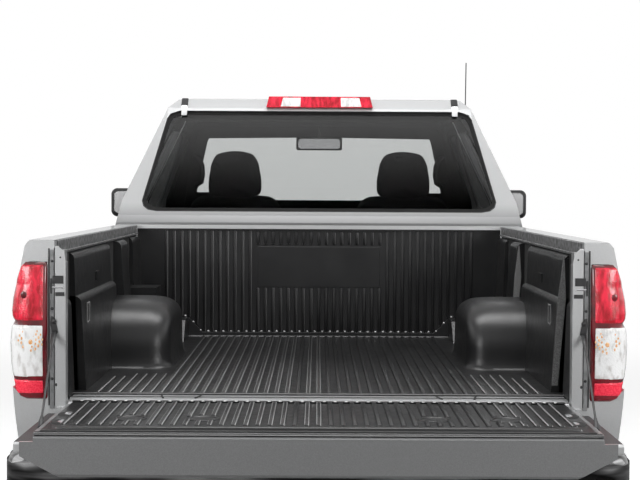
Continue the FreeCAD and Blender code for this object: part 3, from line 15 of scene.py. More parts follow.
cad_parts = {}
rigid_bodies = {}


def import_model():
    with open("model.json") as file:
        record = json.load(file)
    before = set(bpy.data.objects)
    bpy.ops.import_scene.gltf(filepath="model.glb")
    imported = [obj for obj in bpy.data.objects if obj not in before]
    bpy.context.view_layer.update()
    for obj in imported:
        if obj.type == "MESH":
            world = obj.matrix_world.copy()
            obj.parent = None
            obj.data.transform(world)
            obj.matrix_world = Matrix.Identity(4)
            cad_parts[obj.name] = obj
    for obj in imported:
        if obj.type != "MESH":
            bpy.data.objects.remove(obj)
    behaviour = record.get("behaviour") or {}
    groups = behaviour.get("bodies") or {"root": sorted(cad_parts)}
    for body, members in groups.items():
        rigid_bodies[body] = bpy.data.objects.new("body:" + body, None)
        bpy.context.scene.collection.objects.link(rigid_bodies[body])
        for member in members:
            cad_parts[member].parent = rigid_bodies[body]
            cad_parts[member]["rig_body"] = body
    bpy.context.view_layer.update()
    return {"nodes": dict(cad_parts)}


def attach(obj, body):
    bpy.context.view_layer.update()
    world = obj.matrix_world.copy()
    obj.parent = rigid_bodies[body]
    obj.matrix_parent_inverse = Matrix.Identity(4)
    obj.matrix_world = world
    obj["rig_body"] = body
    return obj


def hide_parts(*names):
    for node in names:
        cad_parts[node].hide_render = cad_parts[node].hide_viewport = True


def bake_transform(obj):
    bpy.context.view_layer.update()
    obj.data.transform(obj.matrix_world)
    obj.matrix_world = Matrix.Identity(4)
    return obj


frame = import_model()
nodes = frame["nodes"]

# %% [markdown]
# ## One ruler for the bed
# Lengths in the bed are easiest to read from its rear edge, the sill. `at(0.1)` is 0.1 m ahead of it.
# The constants beside it are the bed's floor height, the distance between two ribs of the liner and half
# the liner's width.

# %% A ruler
SILL_Y = -2.245
FLOOR_Z = 0.73
RIB_PITCH = 0.0328
LINER_HALF = 0.786


def at(ahead):
    """The y of a place this far ahead of the sill."""
    return SILL_Y + ahead


print("bed front wall at y =", round(at(1.874), 3))

# %% [markdown]
# ## The camera
# The photograph is taken from behind with a long lens, a little above the bed. The spacing of the
# liner's ribs on the floor, the front wall and the tailgate gives the distance and the height.
# The lens follows from the picture's 640 pixels of width and a focal length of 1430 pixels.

# %% Camera
PHOTO_WIDTH = 640
PHOTO_FOCAL = 1430
SENSOR_WIDTH = 36
CAMERA_PLACE = (-0.006, -6.545, 1.356)
LOOK_DOWN = 1.98
LOOK_RIGHT = 0.1
ROLL = 0.3
camera = bpy.data.objects.new("camera", bpy.data.cameras.new("camera"))
camera.data.sensor_width = SENSOR_WIDTH
camera.data.lens = SENSOR_WIDTH * PHOTO_FOCAL / PHOTO_WIDTH
camera.data.clip_end = 200
tilt = Matrix.Rotation(math.radians(90 - LOOK_DOWN), 4, "X")
turn = Matrix.Rotation(math.radians(-LOOK_RIGHT), 4, "Z")
roll = Matrix.Rotation(math.radians(ROLL), 4, "Z")
camera.matrix_world = Matrix.Translation(CAMERA_PLACE) @ turn @ tilt @ roll
bpy.context.scene.collection.objects.link(camera)
bpy.context.scene.camera = camera
print("lens:", round(camera.data.lens, 1), "mm")

# %% [markdown]
# ## Light and background
# The picture has a white studio background. Rays from the camera and rays that pass through glass see a
# plain white world. Shiny things see a studio that is bright overhead and at the sides and darker behind
# the camera, which gives silver paint its grey and bright bands. What lights the truck is dimmer, so that
# paint isn't washed out. A ray that has already left a dull surface gets this dimmer light even through
# a pane of glass; otherwise the inside of the cab would be far too bright.

# %% World
scene = bpy.context.scene
scene.view_settings.view_transform = "Standard"
world = bpy.data.worlds.new("studio")
scene.world = world
world.use_nodes = True
tree = world.node_tree
tree.nodes.clear()


def shader_node(tree, kind, inputs=None, **settings):
    """Adds a shader node. A plain input value is set, and an output of another node is linked."""
    node = tree.nodes.new("ShaderNode" + kind)
    for setting, value in settings.items():
        setattr(node, setting, value)
    for socket, value in (inputs or {}).items():
        if isinstance(value, bpy.types.NodeSocket):
            tree.links.new(value, node.inputs[socket])
        else:
            node.inputs[socket].default_value = value
    return node


def sky(strength):
    return shader_node(tree, "Background", {"Color": (1, 1, 1, 1), "Strength": strength}).outputs[0]


def either(kind, first, second):
    return shader_node(tree, "Math", {0: first, 1: second}, operation=kind).outputs[0]


def choose(factor, first, second):
    return shader_node(tree, "MixShader", {"Fac": factor, 1: first, 2: second}).outputs[0]


def smooth_step(value, low, high, start=0, end=1):
    """Turns a value between low and high into one that runs softly from start to end."""
    ends = {"Value": value, "From Min": low, "From Max": high, "To Min": start, "To Max": end}
    return shader_node(tree, "MapRange", ends, interpolation_type="SMOOTHSTEP").outputs["Result"]


rays = shader_node(tree, "LightPath").outputs
place = shader_node(tree, "TexCoord").outputs
behind = shader_node(tree, "VectorMath", {0: place["Generated"], 1: (0, -0.94, -0.34)},
                     operation="DOT_PRODUCT")
studio = sky(smooth_step(behind.outputs["Value"], 0.45, 0.95, 0.75, 0.5))
first_bounce = either("LESS_THAN", rays["Diffuse Depth"], 0.5)
through = either("MULTIPLY", rays["Is Transmission Ray"], first_bounce)
seen = either("MAXIMUM", rays["Is Camera Ray"], through)
shiny = either("MULTIPLY", rays["Is Glossy Ray"], first_bounce)
lit = choose(shiny, sky(0.3), studio)
shader_node(tree, "OutputWorld", {"Surface": choose(seen, lit, sky(1.0))})
print("world nodes:", len(tree.nodes))

# %% [markdown]
# ## Lamps
# Softboxes are large, so that their shadows stay soft. One hangs over the bed, one lights each side,
# and two low ones light the rear corners. A wide card high behind the camera gives the rear pane
# something bright to mirror along its upper edge.

# %% Lamps
def softbox(name, place, aim, width, height, power):
    """A rectangular lamp at a place that shines towards its aim."""
    light = bpy.data.objects.new(name, bpy.data.lights.new(name, "AREA"))
    light.data.shape = "RECTANGLE"
    light.data.size = width
    light.data.size_y = height
    light.data.energy = power
    light.location = place
    light.rotation_mode = "QUATERNION"
    light.rotation_quaternion = (Vector(aim) - Vector(place)).to_track_quat("-Z", "Y")
    scene.collection.objects.link(light)


softbox("overhead", (0, -1.7, 4.2), (0, -1.2, 0.7), 3.0, 1.4, 122)
softbox("left_fill", (-6, -1, 3.0), (0, -0.3, 0.8), 5, 2.6, 60)
softbox("right_fill", (6, -1, 3.0), (0, -0.3, 0.8), 5, 2.6, 60)
softbox("left_rear", (-2.6, -4.7, 1.9), (-0.8, -2.2, 0.95), 1.4, 1.0, 50)
softbox("right_rear", (2.6, -4.7, 1.9), (0.8, -2.2, 0.95), 1.4, 1.0, 48)
softbox("pane_card", (0, -13.0, 7.6), (0, -2.0, 1.5), 8.0, 4.0, 70)
print("lamps:", len(bpy.data.lights))

# %% [markdown]
# ## The floor
# The floor is a wide plain disc of matt white. Near the truck it takes real light, so it keeps the
# soft shadow under the wheels. Further out it slowly turns into the white of the background, so that
# there is no visible horizon. In the reflections of shiny parts the floor near the truck is a dark
# grey instead: painted shade in those reflections.

# %% Floor
FLOOR_R = 60
ground_mesh = bpy.data.meshes.new("ground")


def angles(count):
    """Angles at even steps around a full turn."""
    return [2 * math.pi * k / count for k in range(count)]


ground_mesh.from_pydata([(FLOOR_R * math.cos(a), FLOOR_R * math.sin(a), 0) for a in angles(64)], [],
                        [tuple(range(64))])
ground = bpy.data.objects.new("ground", ground_mesh)
scene.collection.objects.link(ground)
white_floor = bpy.data.materials.new("white_floor")
white_floor.use_nodes = True
tree = white_floor.node_tree
tree.nodes.clear()


def glow(strength):
    return shader_node(tree, "Emission", {"Strength": strength}).outputs[0]


def matt(value):
    return shader_node(tree, "BsdfDiffuse", {"Color": (value, value, value, 1)}).outputs[0]


rays = shader_node(tree, "LightPath").outputs
place = shader_node(tree, "TexCoord").outputs
reach = shader_node(tree, "VectorMath", {0: place["Object"]}, operation="LENGTH").outputs["Value"]
seen = either("MAXIMUM", rays["Is Camera Ray"], rays["Is Transmission Ray"])
lit_matt = matt(0.82)
lifted = shader_node(tree, "AddShader", {0: lit_matt, 1: glow(0.5)}).outputs[0]
# Shiny parts see the floor near the truck as dark grey, a painted shade in their reflections.
mirrored_floor = choose(smooth_step(reach, 6.0, 13.0), matt(0.22), glow(0.5))
unseen = choose(rays["Is Glossy Ray"], lit_matt, mirrored_floor)
near = choose(seen, unseen, lifted)
far = choose(seen, unseen, glow(1.0))
shader_node(tree, "OutputMaterial", {"Surface": choose(smooth_step(reach, 2.6, 7.0), near, far)})
ground_mesh.materials.append(white_floor)
print("floor radius:", FLOOR_R)

# %% [markdown]
# ## Tools for finishes
# A finish is one Principled shader with detail from textures that are worked out in the truck's own
# coordinates, so it needs no unwrapping and keeps its real scale. `finish` sets the plain values,
# `tint` lets the colour wander between two shades, `rough` does the same for the gloss, and `grain`
# adds small bumps. `along` measures a place on one axis, for colours and gloss that change with height
# or length.

# %% Finish tools
def finish(name, colour, roughness, **sockets):
    """A material with plain values; a socket's name has _ for each space."""
    material = bpy.data.materials.new(name)
    material.use_nodes = True
    shader = material.node_tree.nodes["Principled BSDF"]
    shader.inputs["Base Color"].default_value = (*colour, 1)
    shader.inputs["Roughness"].default_value = roughness
    for socket, value in sockets.items():
        shader.inputs[socket.replace("_", " ")].default_value = value
    return material


def feed(material, socket, value):
    """Links an output to a socket of the material's shader."""
    tree = material.node_tree
    tree.links.new(value, tree.nodes["Principled BSDF"].inputs[socket])


def texture(material, scale, kind="Noise", stretch=(1, 1, 1)):
    tree = material.node_tree
    place = shader_node(tree, "TexCoord").outputs["Object"]
    shape = shader_node(tree, "Mapping", {"Scale": stretch, "Vector": place}).outputs["Vector"]
    return shader_node(tree, "Tex" + kind, {"Scale": scale, "Vector": shape}).outputs[0]


def ramp(material, value, first, second, low=0.0, high=1.0):
    """Turns a value into a colour between two shades."""
    node = shader_node(material.node_tree, "ValToRGB", {"Fac": value})
    for element, position, colour in zip(node.color_ramp.elements, (low, high), (first, second)):
        element.position = position
        element.color = (*colour, 1)
    feed(material, "Base Color", node.outputs["Color"])


def tint(material, dark, light, scale, low=0.35, high=0.65, **how):
    ramp(material, texture(material, scale, **how), dark, light, low, high)


def rough(material, low, high, scale, **how):
    span = {"Value": texture(material, scale, **how), "To Min": low, "To Max": high}
    feed(material, "Roughness", shader_node(material.node_tree, "MapRange", span).outputs["Result"])


def grain(material, scale, depth, **how):
    height = texture(material, scale, **how)
    bump = shader_node(material.node_tree, "Bump", {"Distance": depth, "Height": height})
    feed(material, "Normal", bump.outputs["Normal"])


def along(material, axis, low, high, start=0, end=1):
    """A value that runs from start to end between two places on one axis of the truck."""
    tree = material.node_tree
    parts = shader_node(tree, "SeparateXYZ", {"Vector": shader_node(tree, "TexCoord").outputs["Object"]})
    span = {"Value": parts.outputs[axis], "From Min": low, "From Max": high, "To Min": start, "To Max": end}
    return shader_node(tree, "MapRange", span).outputs["Result"]


print("finish tools ready")

# %% [markdown]
# ## The finishes
# Silver paint is a metallic base under a clear coat, with a very fine flake. The liner is a moulded
# black plastic with a leathery grain. Rubber, cloth, carpet, chrome, cast alloy and dull chassis black
# follow the same way. Each one has a texture at its own real scale.

# %% Paint and plastics
paint = finish("silver_paint", (0.56, 0.565, 0.57), 0.36, Metallic=0.7, Coat_Weight=0.6, Coat_Roughness=0.05)
tint(paint, (0.53, 0.535, 0.54), (0.60, 0.605, 0.61), 900)
grain(paint, 1400, 0.00001)
liner_black = finish("liner_plastic", (0.010, 0.010, 0.0105), 0.36, Specular_IOR_Level=0.42)
tint(liner_black, (0.007, 0.007, 0.0075), (0.014, 0.014, 0.0145), 7)
rough(liner_black, 0.24, 0.4, 30)
grain(liner_black, 900, 0.00012, kind="Voronoi")
# The ribs' upper edges get a painted highlight, brightest near the sill and fading toward the front wall.
rib_painted_highlight = finish("rib_edges", (0.1, 0.1, 0.1), 0.3)
ramp(rib_painted_highlight, along(rib_painted_highlight, "Y", at(0.2), at(1.15)), (0.30, 0.30, 0.30), (0.11, 0.11, 0.11))
# The toes at the ends of the flats are light grey: a painted highlight on the black liner.
toe_painted_highlight = finish("rib_toes", (0.5, 0.5, 0.5), 0.3)
tint(toe_painted_highlight, (0.34, 0.34, 0.34), (0.62, 0.62, 0.62), 400)
# A light grey that stands for light on the black liner: painted light on the right wall's rear-facing strips
# and painted highlights on the slots' rims.
painted_light_edge = finish("panel_edges", (0.17, 0.17, 0.17), 0.6)
tint(painted_light_edge, (0.10, 0.10, 0.10), (0.24, 0.24, 0.24), 420)
grain(painted_light_edge, 700, 0.0003)
trim_black = finish("trim_plastic", (0.018, 0.018, 0.019), 0.5)
tint(trim_black, (0.014, 0.014, 0.015), (0.024, 0.024, 0.025), 12)
grain(trim_black, 1500, 0.00008, kind="Voronoi")
# A dull mottled grey for the rail's painted flange: a painted reflection of the dark bed.
rail_painted_reflection = finish("rail_metal", (0.14, 0.14, 0.142), 0.5, Metallic=0.5)
tint(rail_painted_reflection, (0.07, 0.07, 0.072), (0.26, 0.26, 0.262), 55)
grain(rail_painted_reflection, 300, 0.0003)
cabin_grey = finish("cabin_plastic", (0.006, 0.006, 0.0065), 0.8, Specular_IOR_Level=0.15)
tint(cabin_grey, (0.004, 0.004, 0.0045), (0.009, 0.009, 0.0095), 9)
grain(cabin_grey, 1100, 0.0001, kind="Voronoi")
print("paint and plastics:", len(bpy.data.materials))

# %% Metals
chassis = finish("chassis_black", (0.025, 0.025, 0.025), 0.55)
tint(chassis, (0.018, 0.018, 0.018), (0.05, 0.046, 0.042), 5)
rough(chassis, 0.45, 0.7, 14)
grain(chassis, 300, 0.0002)
chrome = finish("chrome", (0.78, 0.78, 0.79), 0.06, Metallic=1.0)
rough(chrome, 0.04, 0.1, 6)
steel = finish("exhaust_steel", (0.38, 0.36, 0.34), 0.4, Metallic=1.0)
tint(steel, (0.26, 0.23, 0.2), (0.46, 0.44, 0.42), 6)
grain(steel, 200, 0.0001)
alloy = finish("wheel_alloy", (0.6, 0.61, 0.63), 0.32, Metallic=0.9, Coat_Weight=0.6, Coat_Roughness=0.08)
tint(alloy, (0.56, 0.57, 0.59), (0.66, 0.67, 0.69), 60)
grain(alloy, 700, 0.00003)
cast_iron = finish("cast_iron", (0.16, 0.15, 0.145), 0.6, Metallic=0.7)
tint(cast_iron, (0.1, 0.09, 0.085), (0.22, 0.21, 0.2), 20)
grain(cast_iron, 400, 0.0003)
print("metals:", len(bpy.data.materials))

# %% Rubber and cloth
rubber = finish("tyre_rubber", (0.02, 0.02, 0.021), 0.75)
tint(rubber, (0.015, 0.015, 0.016), (0.034, 0.033, 0.032), 8)
grain(rubber, 500, 0.0002)
cloth = finish("seat_cloth", (0.009, 0.009, 0.01), 0.95, Specular_IOR_Level=0.15)
tint(cloth, (0.006, 0.006, 0.007), (0.014, 0.014, 0.0155), 700, kind="Voronoi")
grain(cloth, 900, 0.0005, kind="Voronoi", stretch=(1, 1, 0.6))
carpet = finish("carpet", (0.03, 0.03, 0.032), 0.95)
tint(carpet, (0.02, 0.02, 0.022), (0.05, 0.05, 0.052), 240)
grain(carpet, 600, 0.002)
print("soft finishes:", len(bpy.data.materials))

# %% [markdown]
# ## Glass and lamp lenses
# The windscreen is nearly clear, and the panes of the doors are tinted, because from behind the cab is
# dark at both sides. The rear pane is lightly tinted. Its reflection is painted in: its index of refraction
# is tied to height, because that sets how much glass mirrors, so it mirrors the sky more at its upper
# edge than at its lower one and goes from dark grey to black. A lens is coloured plastic with prisms
# moulded into its back, which stretched noise and fine bumps stand for. The lamps are unlit, so all
# their colour comes from the light that falls on them.

# %% Glass and lenses
def glass(name, colour, ior=1.45):
    return finish(name, colour, 0.0, Transmission_Weight=1.0, IOR=ior)


clear_glass = glass("clear_glass", (0.93, 0.95, 0.94))
rough(clear_glass, 0.0, 0.02, 3)
rear_pane = glass("rear_pane_glass", (0.56, 0.565, 0.565))
rough(rear_pane, 0.0, 0.015, 3)
# Painted reflection: the index of refraction rises with height, so the pane mirrors more toward its top.
feed(rear_pane, "IOR", along(rear_pane, "Z", 1.28, 1.68, 1.03, 1.45))
side_glass = glass("door_glass", (0.12, 0.123, 0.123))
rough(side_glass, 0.0, 0.02, 3)
access_glass = glass("access_door_glass", (0.06, 0.061, 0.061))
rough(access_glass, 0.0, 0.02, 3)
headlamp_glass = glass("headlamp_lens", (0.92, 0.93, 0.93), ior=1.2)
rough(headlamp_glass, 0.0, 0.03, 12)
red_lens = finish("red_lens", (0.78, 0.012, 0.035), 0.14, Coat_Weight=0.6)
tint(red_lens, (0.42, 0.002, 0.012), (0.92, 0.02, 0.06), 70, stretch=(1, 1, 0.35))
grain(red_lens, 260, 0.0006, kind="Voronoi")
bright_red = finish("red_reflector", (0.92, 0.03, 0.07), 0.2)
tint(bright_red, (0.86, 0.02, 0.055), (0.96, 0.05, 0.09), 200, kind="Voronoi")
grain(bright_red, 500, 0.0003, kind="Voronoi")
dark_red = finish("red_surround", (0.13, 0.001, 0.006), 0.08, Coat_Weight=1.0)
tint(dark_red, (0.09, 0.001, 0.004), (0.18, 0.002, 0.009), 25)
clear_lens = finish("clear_lens", (0.84, 0.84, 0.84), 0.1, Coat_Weight=0.6)
tint(clear_lens, (0.62, 0.60, 0.585), (0.9, 0.9, 0.9), 60, low=0.3, high=0.5, stretch=(1, 1, 0.45))
grain(clear_lens, 200, 0.0008, kind="Voronoi")
amber = finish("amber_bulb", (0.9, 0.5, 0.2), 0.2)
tint(amber, (0.75, 0.34, 0.10), (0.95, 0.66, 0.40), 160)
print("glass and lenses:", len(bpy.data.materials))

# %% [markdown]
# ## Finishes for the CAD parts
# A CAD part whose shape is right keeps its mesh and only gets a finish in its material slot.
# The table names a finish for every node, so that none is left with its flat default colour.

# %% Dress the CAD parts
looks = {}
for look, names in ((paint, "cab_shell bed_box front_wings front_bumper tailgate hood"),
                    (chassis, "frame_rails driveline rear_axle leaf_springs front_suspension"),
                    (trim_black, "tailgate_cables fuel_tank antenna inner_mirror steering_wheel"),
                    (liner_black, "bed_liner tailgate_liner"), (red_lens, "tail_lamps stop_lamp"),
                    (cloth, "front_seats rear_seats"), (chrome, "grille rear_bumper"),
                    (clear_glass, "windshield"), (rear_pane, "rear_glass"), (headlamp_glass, "headlamps"),
                    (carpet, "cab_floor"), (cabin_grey, "dashboard"), (cast_iron, "engine"),
                    (steel, "exhaust"), (rubber, "spare_wheel")):
    looks.update(dict.fromkeys(names.split(), look))
for look, names in ((paint, "front_door half_door"), (side_glass, "front_glass"),
                    (access_glass, "half_glass"), (trim_black, "door_mirror"), (cast_iron, "knuckle"),
                    (rubber, "tyre_front tyre_rear"), (alloy, "rim_front rim_rear")):
    for name in names.split():
        looks[name + "_right"] = looks[name + "_left"] = look
for name, node in nodes.items():
    node.data.materials.clear()
    node.data.materials.append(looks[name])
print("dressed:", len(looks), "without a look:", sorted(set(nodes) - set(looks)))

# %% [markdown]
# ## Tools for shapes
# A `Form` gathers points and faces, and `piece` turns them into one mesh that rides on a CAD body.
# A prism pushes an outline along an axis, `turned` spins a profile like a lathe, `skin` stretches a
# surface over a row of rings and `tube` follows a path. A small bevel on every edge catches the light,
# which is what makes a moulded or pressed part look real. A loop pairs each finish with one of the
# model's material slots, but nothing keeps the pairs.

# %% Shape tools
AXES = {"x": (1, 2, 0), "y": (0, 2, 1), "z": (0, 1, 2)}
SIDES = {"right": 1, "left": -1}
for slot, names in (("paint", "silver_paint shaded_paint rail_metal"),
                    ("black_plastic", "liner_plastic trim_plastic cabin_plastic pocket_shadow "
                                      "rib_toes panel_edges"),
                    ("bright_metal", "chrome bumper_chrome wheel_alloy cast_iron exhaust_steel mirror_glass "
                                     "silvered_glass"),
                    ("lamp_red", "red_lens red_surround red_reflector amber_bulb"),
                    ("lamp_clear", "clear_lens"), ("tyre_rubber", "tyre_rubber")):
    dict.fromkeys(names.split(), slot)


def recolour(mesh, look, pick):
    """Gives the faces that pick(centre, normal) chooses another finish, and counts them."""
    mesh.materials.append(look)
    chosen = [polygon for polygon in mesh.polygons if pick(polygon.center, polygon.normal)]
    for polygon in chosen:
        polygon.material_index = len(mesh.materials) - 1
    return len(chosen)


def on_axis(axis, u, v, far):
    """A point of an outline in u and v, this far along the axis that the outline lies across."""
    point = [0.0, 0.0, 0.0]
    for index, value in zip(AXES[axis], (u, v, far)):
        point[index] = value
    return tuple(point)


class Form:
    """Points and faces that are gathered before they become one mesh."""

    def __init__(self):
        self.points = []
        self.faces = []

    def add(self, points, faces):
        first = len(self.points)
        self.points += [tuple(p) for p in points]
        self.faces += [tuple(first + i for i in face) for face in faces]

    def prism(self, outline, axis, start, end):
        self.skin([[on_axis(axis, u, v, far) for u, v in outline] for far in (start, end)])

    def block(self, low, high):
        (x0, y0, z0), (x1, y1, z1) = low, high
        self.prism([(x0, y0), (x1, y0), (x1, y1), (x0, y1)], "z", z0, z1)

    def skin(self, rings, closed=True, caps=True):
        n = len(rings[0])
        faces = []
        for r in range(len(rings) - 1):
            for i in range(n if closed else n - 1):
                j = (i + 1) % n
                faces.append((r * n + i, r * n + j, (r + 1) * n + j, (r + 1) * n + i))
        if caps:
            last = (len(rings) - 1) * n
            faces += [tuple(range(n - 1, -1, -1)), tuple(range(last, last + n))]
        self.add([p for ring in rings for p in ring], faces)

    def band(self, rings):
        """A skin that closes on itself, like a frame."""
        self.skin(rings + [rings[0]], caps=False)

    def turned(self, profile, centre, axis="x", steps=48, start=0, end=360):
        whole = end - start == 360
        count = steps if whole else steps + 1
        rings = []
        for k in range(count):
            a = math.radians(start + (end - start) * k / steps)
            ring = [on_axis(axis, r * math.cos(a), r * math.sin(a), h) for h, r in profile]
            rings.append([tuple(c + d for c, d in zip(centre, p)) for p in ring])
        if whole:
            rings.append(rings[0])
        self.skin(rings, closed=False, caps=False)

    def tube(self, path, radius, sides=10):
        points = [Vector(p) for p in path]
        rings = []
        across = None
        for i, p in enumerate(points):
            ahead = points[min(i + 1, len(points) - 1)] - points[max(i - 1, 0)]
            ahead.normalize()
            if across is None:
                across = ahead.orthogonal().normalized()
            across = (across - ahead * across.dot(ahead)).normalized()
            other = ahead.cross(across)
            rings.append([p + radius * (across * math.cos(a) + other * math.sin(a)) for a in angles(sides)])
        self.skin(rings)

    def placed(self, place, side=1):
        """A copy that is moved to a place, and turned to its mirror image where side is -1."""
        copy = Form()
        copy.add([(place[0] + side * x, place[1] + y, place[2] + z) for x, y, z in self.points], self.faces)
        return copy

    def mirrored(self):
        points = [(-x, y, z) for x, y, z in self.points]
        self.add(points, [tuple(reversed(face)) for face in self.faces])
        return self

    def piece(self, name, look, body="truck", slot=None, instead=None, bevel=0.0, steps=2, smooth=35,
              second=None, pick=None):
        """Makes the mesh, which may stand instead of a CAD node. The second finish goes on picked faces."""
        mesh = bpy.data.meshes.new(name)
        mesh.from_pydata(self.points, [], self.faces)
        bm = bmesh.new()
        bm.from_mesh(mesh)
        bmesh.ops.remove_doubles(bm, verts=bm.verts, dist=0.00001)
        bmesh.ops.recalc_face_normals(bm, faces=bm.faces)
        bm.to_mesh(mesh)
        bm.free()
        mesh.materials.append(look)
        if second:
            recolour(mesh, second, pick)
        mesh.shade_smooth()
        obj = bpy.data.objects.new(name, mesh)
        scene.collection.objects.link(obj)
        if bevel:
            rounder = obj.modifiers.new("bevel", "BEVEL")
            rounder.width = bevel
            rounder.segments = steps
            rounder.limit_method = "ANGLE"
            rounder.angle_limit = math.radians(smooth)
            rounder.harden_normals = True
        else:
            mesh.set_sharp_from_angle(angle=math.radians(smooth))
        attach(obj, body)
        if instead:
            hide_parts(instead)
        return obj


print("shape tools ready")

# %% [markdown]
# ## The bed liner's floor and front wall
# A drop-in liner is one sheet of thermoformed plastic, so every feature in it is a shallow step with
# rounded ends. The floor and the front wall carry narrow ribs at one even pitch, and the flats between
# them stop short of the edges at a small ramp. The ribs are lofts of a rounded bar with tapered ends.

# %% Ribs
BAR = ((-0.5, -0.15), (-0.44, 0.62), (-0.28, 1.0), (0.28, 1.0), (0.44, 0.62), (0.5, -0.15))


def rib(form, start, end, width, height, normal):
    """A low rounded bar from start to end that stands on a surface with this normal."""
    a = Vector(start)
    b = Vector(end)
    up = Vector(normal)
    run = (b - a).normalized()
    side = run.cross(up)
    length = (b - a).length
    taper = ((0.0, 0.5, 0.0), (0.18, 0.86, 0.7), (0.5, 1.0, 1.0))
    stops = [(d * width, w, h) for d, w, h in taper]
    stops += [(length - d, w, h) for d, w, h in reversed(stops)]
    form.skin([[a + run * d + side * (u * width * w) + up * (v * height * h) for u, v in BAR]
               for d, w, h in stops])


def dome(form, centre, radii, steps=12, rows=4):
    """A shallow rounded button; its three radii are along x, y and z."""
    rings = []
    for r in range(-rows, rows + 1):
        a = 0.5 * math.pi * r / rows * 0.98
        rings.append([(centre[0] + radii[0] * math.cos(a) * math.cos(t),
                       centre[1] + radii[1] * math.cos(a) * math.sin(t),
                       centre[2] + radii[2] * math.sin(a)) for t in angles(steps)])
    form.skin(rings)


RIB_W = 0.015
WALL_RIB_W = 0.014
RIB_H = 0.006
BASE_Z = FLOOR_Z - RIB_H
FRONT_WALL_Y = 1.862
ribs = Form()
for k in range(-21, 22):
    x = k * RIB_PITCH
    spans = [(0.105, 1.85)] if abs(x) < 0.51 else [(0.105, 0.575)]
    if abs(x) > 0.64:
        spans = [(0.12, 0.5)]
    for y0, y1 in spans:
        rib(ribs, (x, at(y0), BASE_Z), (x, at(y1), BASE_Z), RIB_W, RIB_H, (0, 0, 1))
for k in range(-20, 21):
    x = k * RIB_PITCH
    low = 0.742
    if abs(x) > 0.5:
        low = 0.742 + (min(abs(x), 0.56) - 0.5) * 1.1
    spans = [(1.121, 1.177), (0.936, low)] if abs(x) < 0.27 else [(1.182, low)]
    for z1, z0 in spans:
        rib(ribs, (x, at(FRONT_WALL_Y), z0), (x, at(FRONT_WALL_Y), z1), WALL_RIB_W, RIB_H, (0, -1, 0))


def shoulder(centre, normal):
    """True for the slanted faces along a rib's upper edges, which carry a painted highlight: both on the
    floor, one on the front wall.
    """
    if normal.y < -0.3:
        return 0.45 < normal.x < 0.93
    return 0.45 < abs(normal.x) < 0.93 and normal.z > 0.3


ribs.piece("liner_ribs", liner_black, instead="bed_liner", smooth=30, second=rib_painted_highlight, pick=shoulder)
# Light grey toes at the foot of the front wall's flats: painted highlights.
toes = Form()
for k in range(-18, 18):
    x = (k + 0.5) * RIB_PITCH
    rise = max(0, min(abs(x), 0.565) - 0.505) * 1.1
    dome(toes, (x, at(FRONT_WALL_Y - 0.0045), 0.7475 + rise), (0.0052, 0.003, 0.004), 8, 2)
toes.piece("liner_toes", toe_painted_highlight, instead="bed_liner", smooth=60)
print("ribs:", len(ribs.faces), "faces")

# %% Floor, front wall and their borders
tray = Form()
UNDER_Z = BASE_Z - 0.012
tray.block((-LINER_HALF, at(0.095), UNDER_Z), (LINER_HALF, at(1.872), BASE_Z))
tray.block((-LINER_HALF, at(FRONT_WALL_Y), UNDER_Z), (LINER_HALF, at(1.874), 1.187))
tray.prism([(at(0.093), UNDER_Z), (at(0.093), BASE_Z + 0.003), (at(0.097), FLOOR_Z),
            (at(0.106), FLOOR_Z), (at(0.112), BASE_Z)], "x", -0.77, 0.77)
step = [(-0.68, 0.0), (-0.68, 0.083), (-0.56, 0.083), (-0.5, 0.02), (0.5, 0.02), (0.56, 0.083),
        (0.68, 0.083), (0.68, 0.0)]
tray.prism([(x, BASE_Z + z) for x, z in step], "y", at(FRONT_WALL_Y - 0.0065), at(FRONT_WALL_Y))
tray.prism([(at(FRONT_WALL_Y), BASE_Z), (at(FRONT_WALL_Y - 0.012), BASE_Z),
            (at(FRONT_WALL_Y), BASE_Z + 0.012)], "x", -0.78, 0.78)
tray.block((-0.262, at(FRONT_WALL_Y - 0.003), 0.94), (0.262, at(FRONT_WALL_Y), 1.114))
tray.block((-0.79, at(1.855), 1.183), (0.79, at(1.874), 1.19))
tray.piece("liner_floor", liner_black, instead="bed_liner", bevel=0.003)
print("tray:", len(tray.faces), "faces")

# %% [markdown]
# ## Wheelhouses and side walls
# Each rear wheel reaches higher than the bed's floor, so the floor rises over it in a housing with
# steep ends and large rounded edges. It is a stack of level outlines: each is a rectangle with round
# corners, and toward the top the outlines shrink along a quarter circle. The side walls lean inward
# toward the floor, and between their raised panels they leave deep pockets, whose backs are a
# near-black sheet of painted shade. The rear-facing strips of the right wall's panels and the rims of
# the slots in both walls are light grey: painted light.

# %% Wheelhouses
HOUSE_Y = 1.04
HOUSE_HALF_L = 0.285
HOUSE_IN = 0.530
HOUSE_TOP = 0.953
HOUSE_END_R = 0.170
HOUSE_ROUND = 0.075


def house_outline(z, grow=0.0):
    """The housing's outline at one height, from wall to wall around its inner side."""
    over = max(0, z - (HOUSE_TOP - HOUSE_END_R))
    half = HOUSE_HALF_L + grow - HOUSE_END_R + math.sqrt(max(0, HOUSE_END_R ** 2 - over ** 2))
    over = max(0, z - (HOUSE_TOP - HOUSE_ROUND))
    inner = HOUSE_IN - grow + HOUSE_ROUND - math.sqrt(max(0, HOUSE_ROUND ** 2 - over ** 2))
    points = [(0.784, -half), (0.72, -half)]
    for k in range(9):
        a = math.radians(-90 - 90 * k / 8)
        points.append((inner + HOUSE_ROUND + HOUSE_ROUND * math.cos(a),
                       -half + HOUSE_ROUND + HOUSE_ROUND * math.sin(a)))
    points += [(x, -y) for x, y in reversed(points)]
    return [(x, at(HOUSE_Y + y), z) for x, y in points]


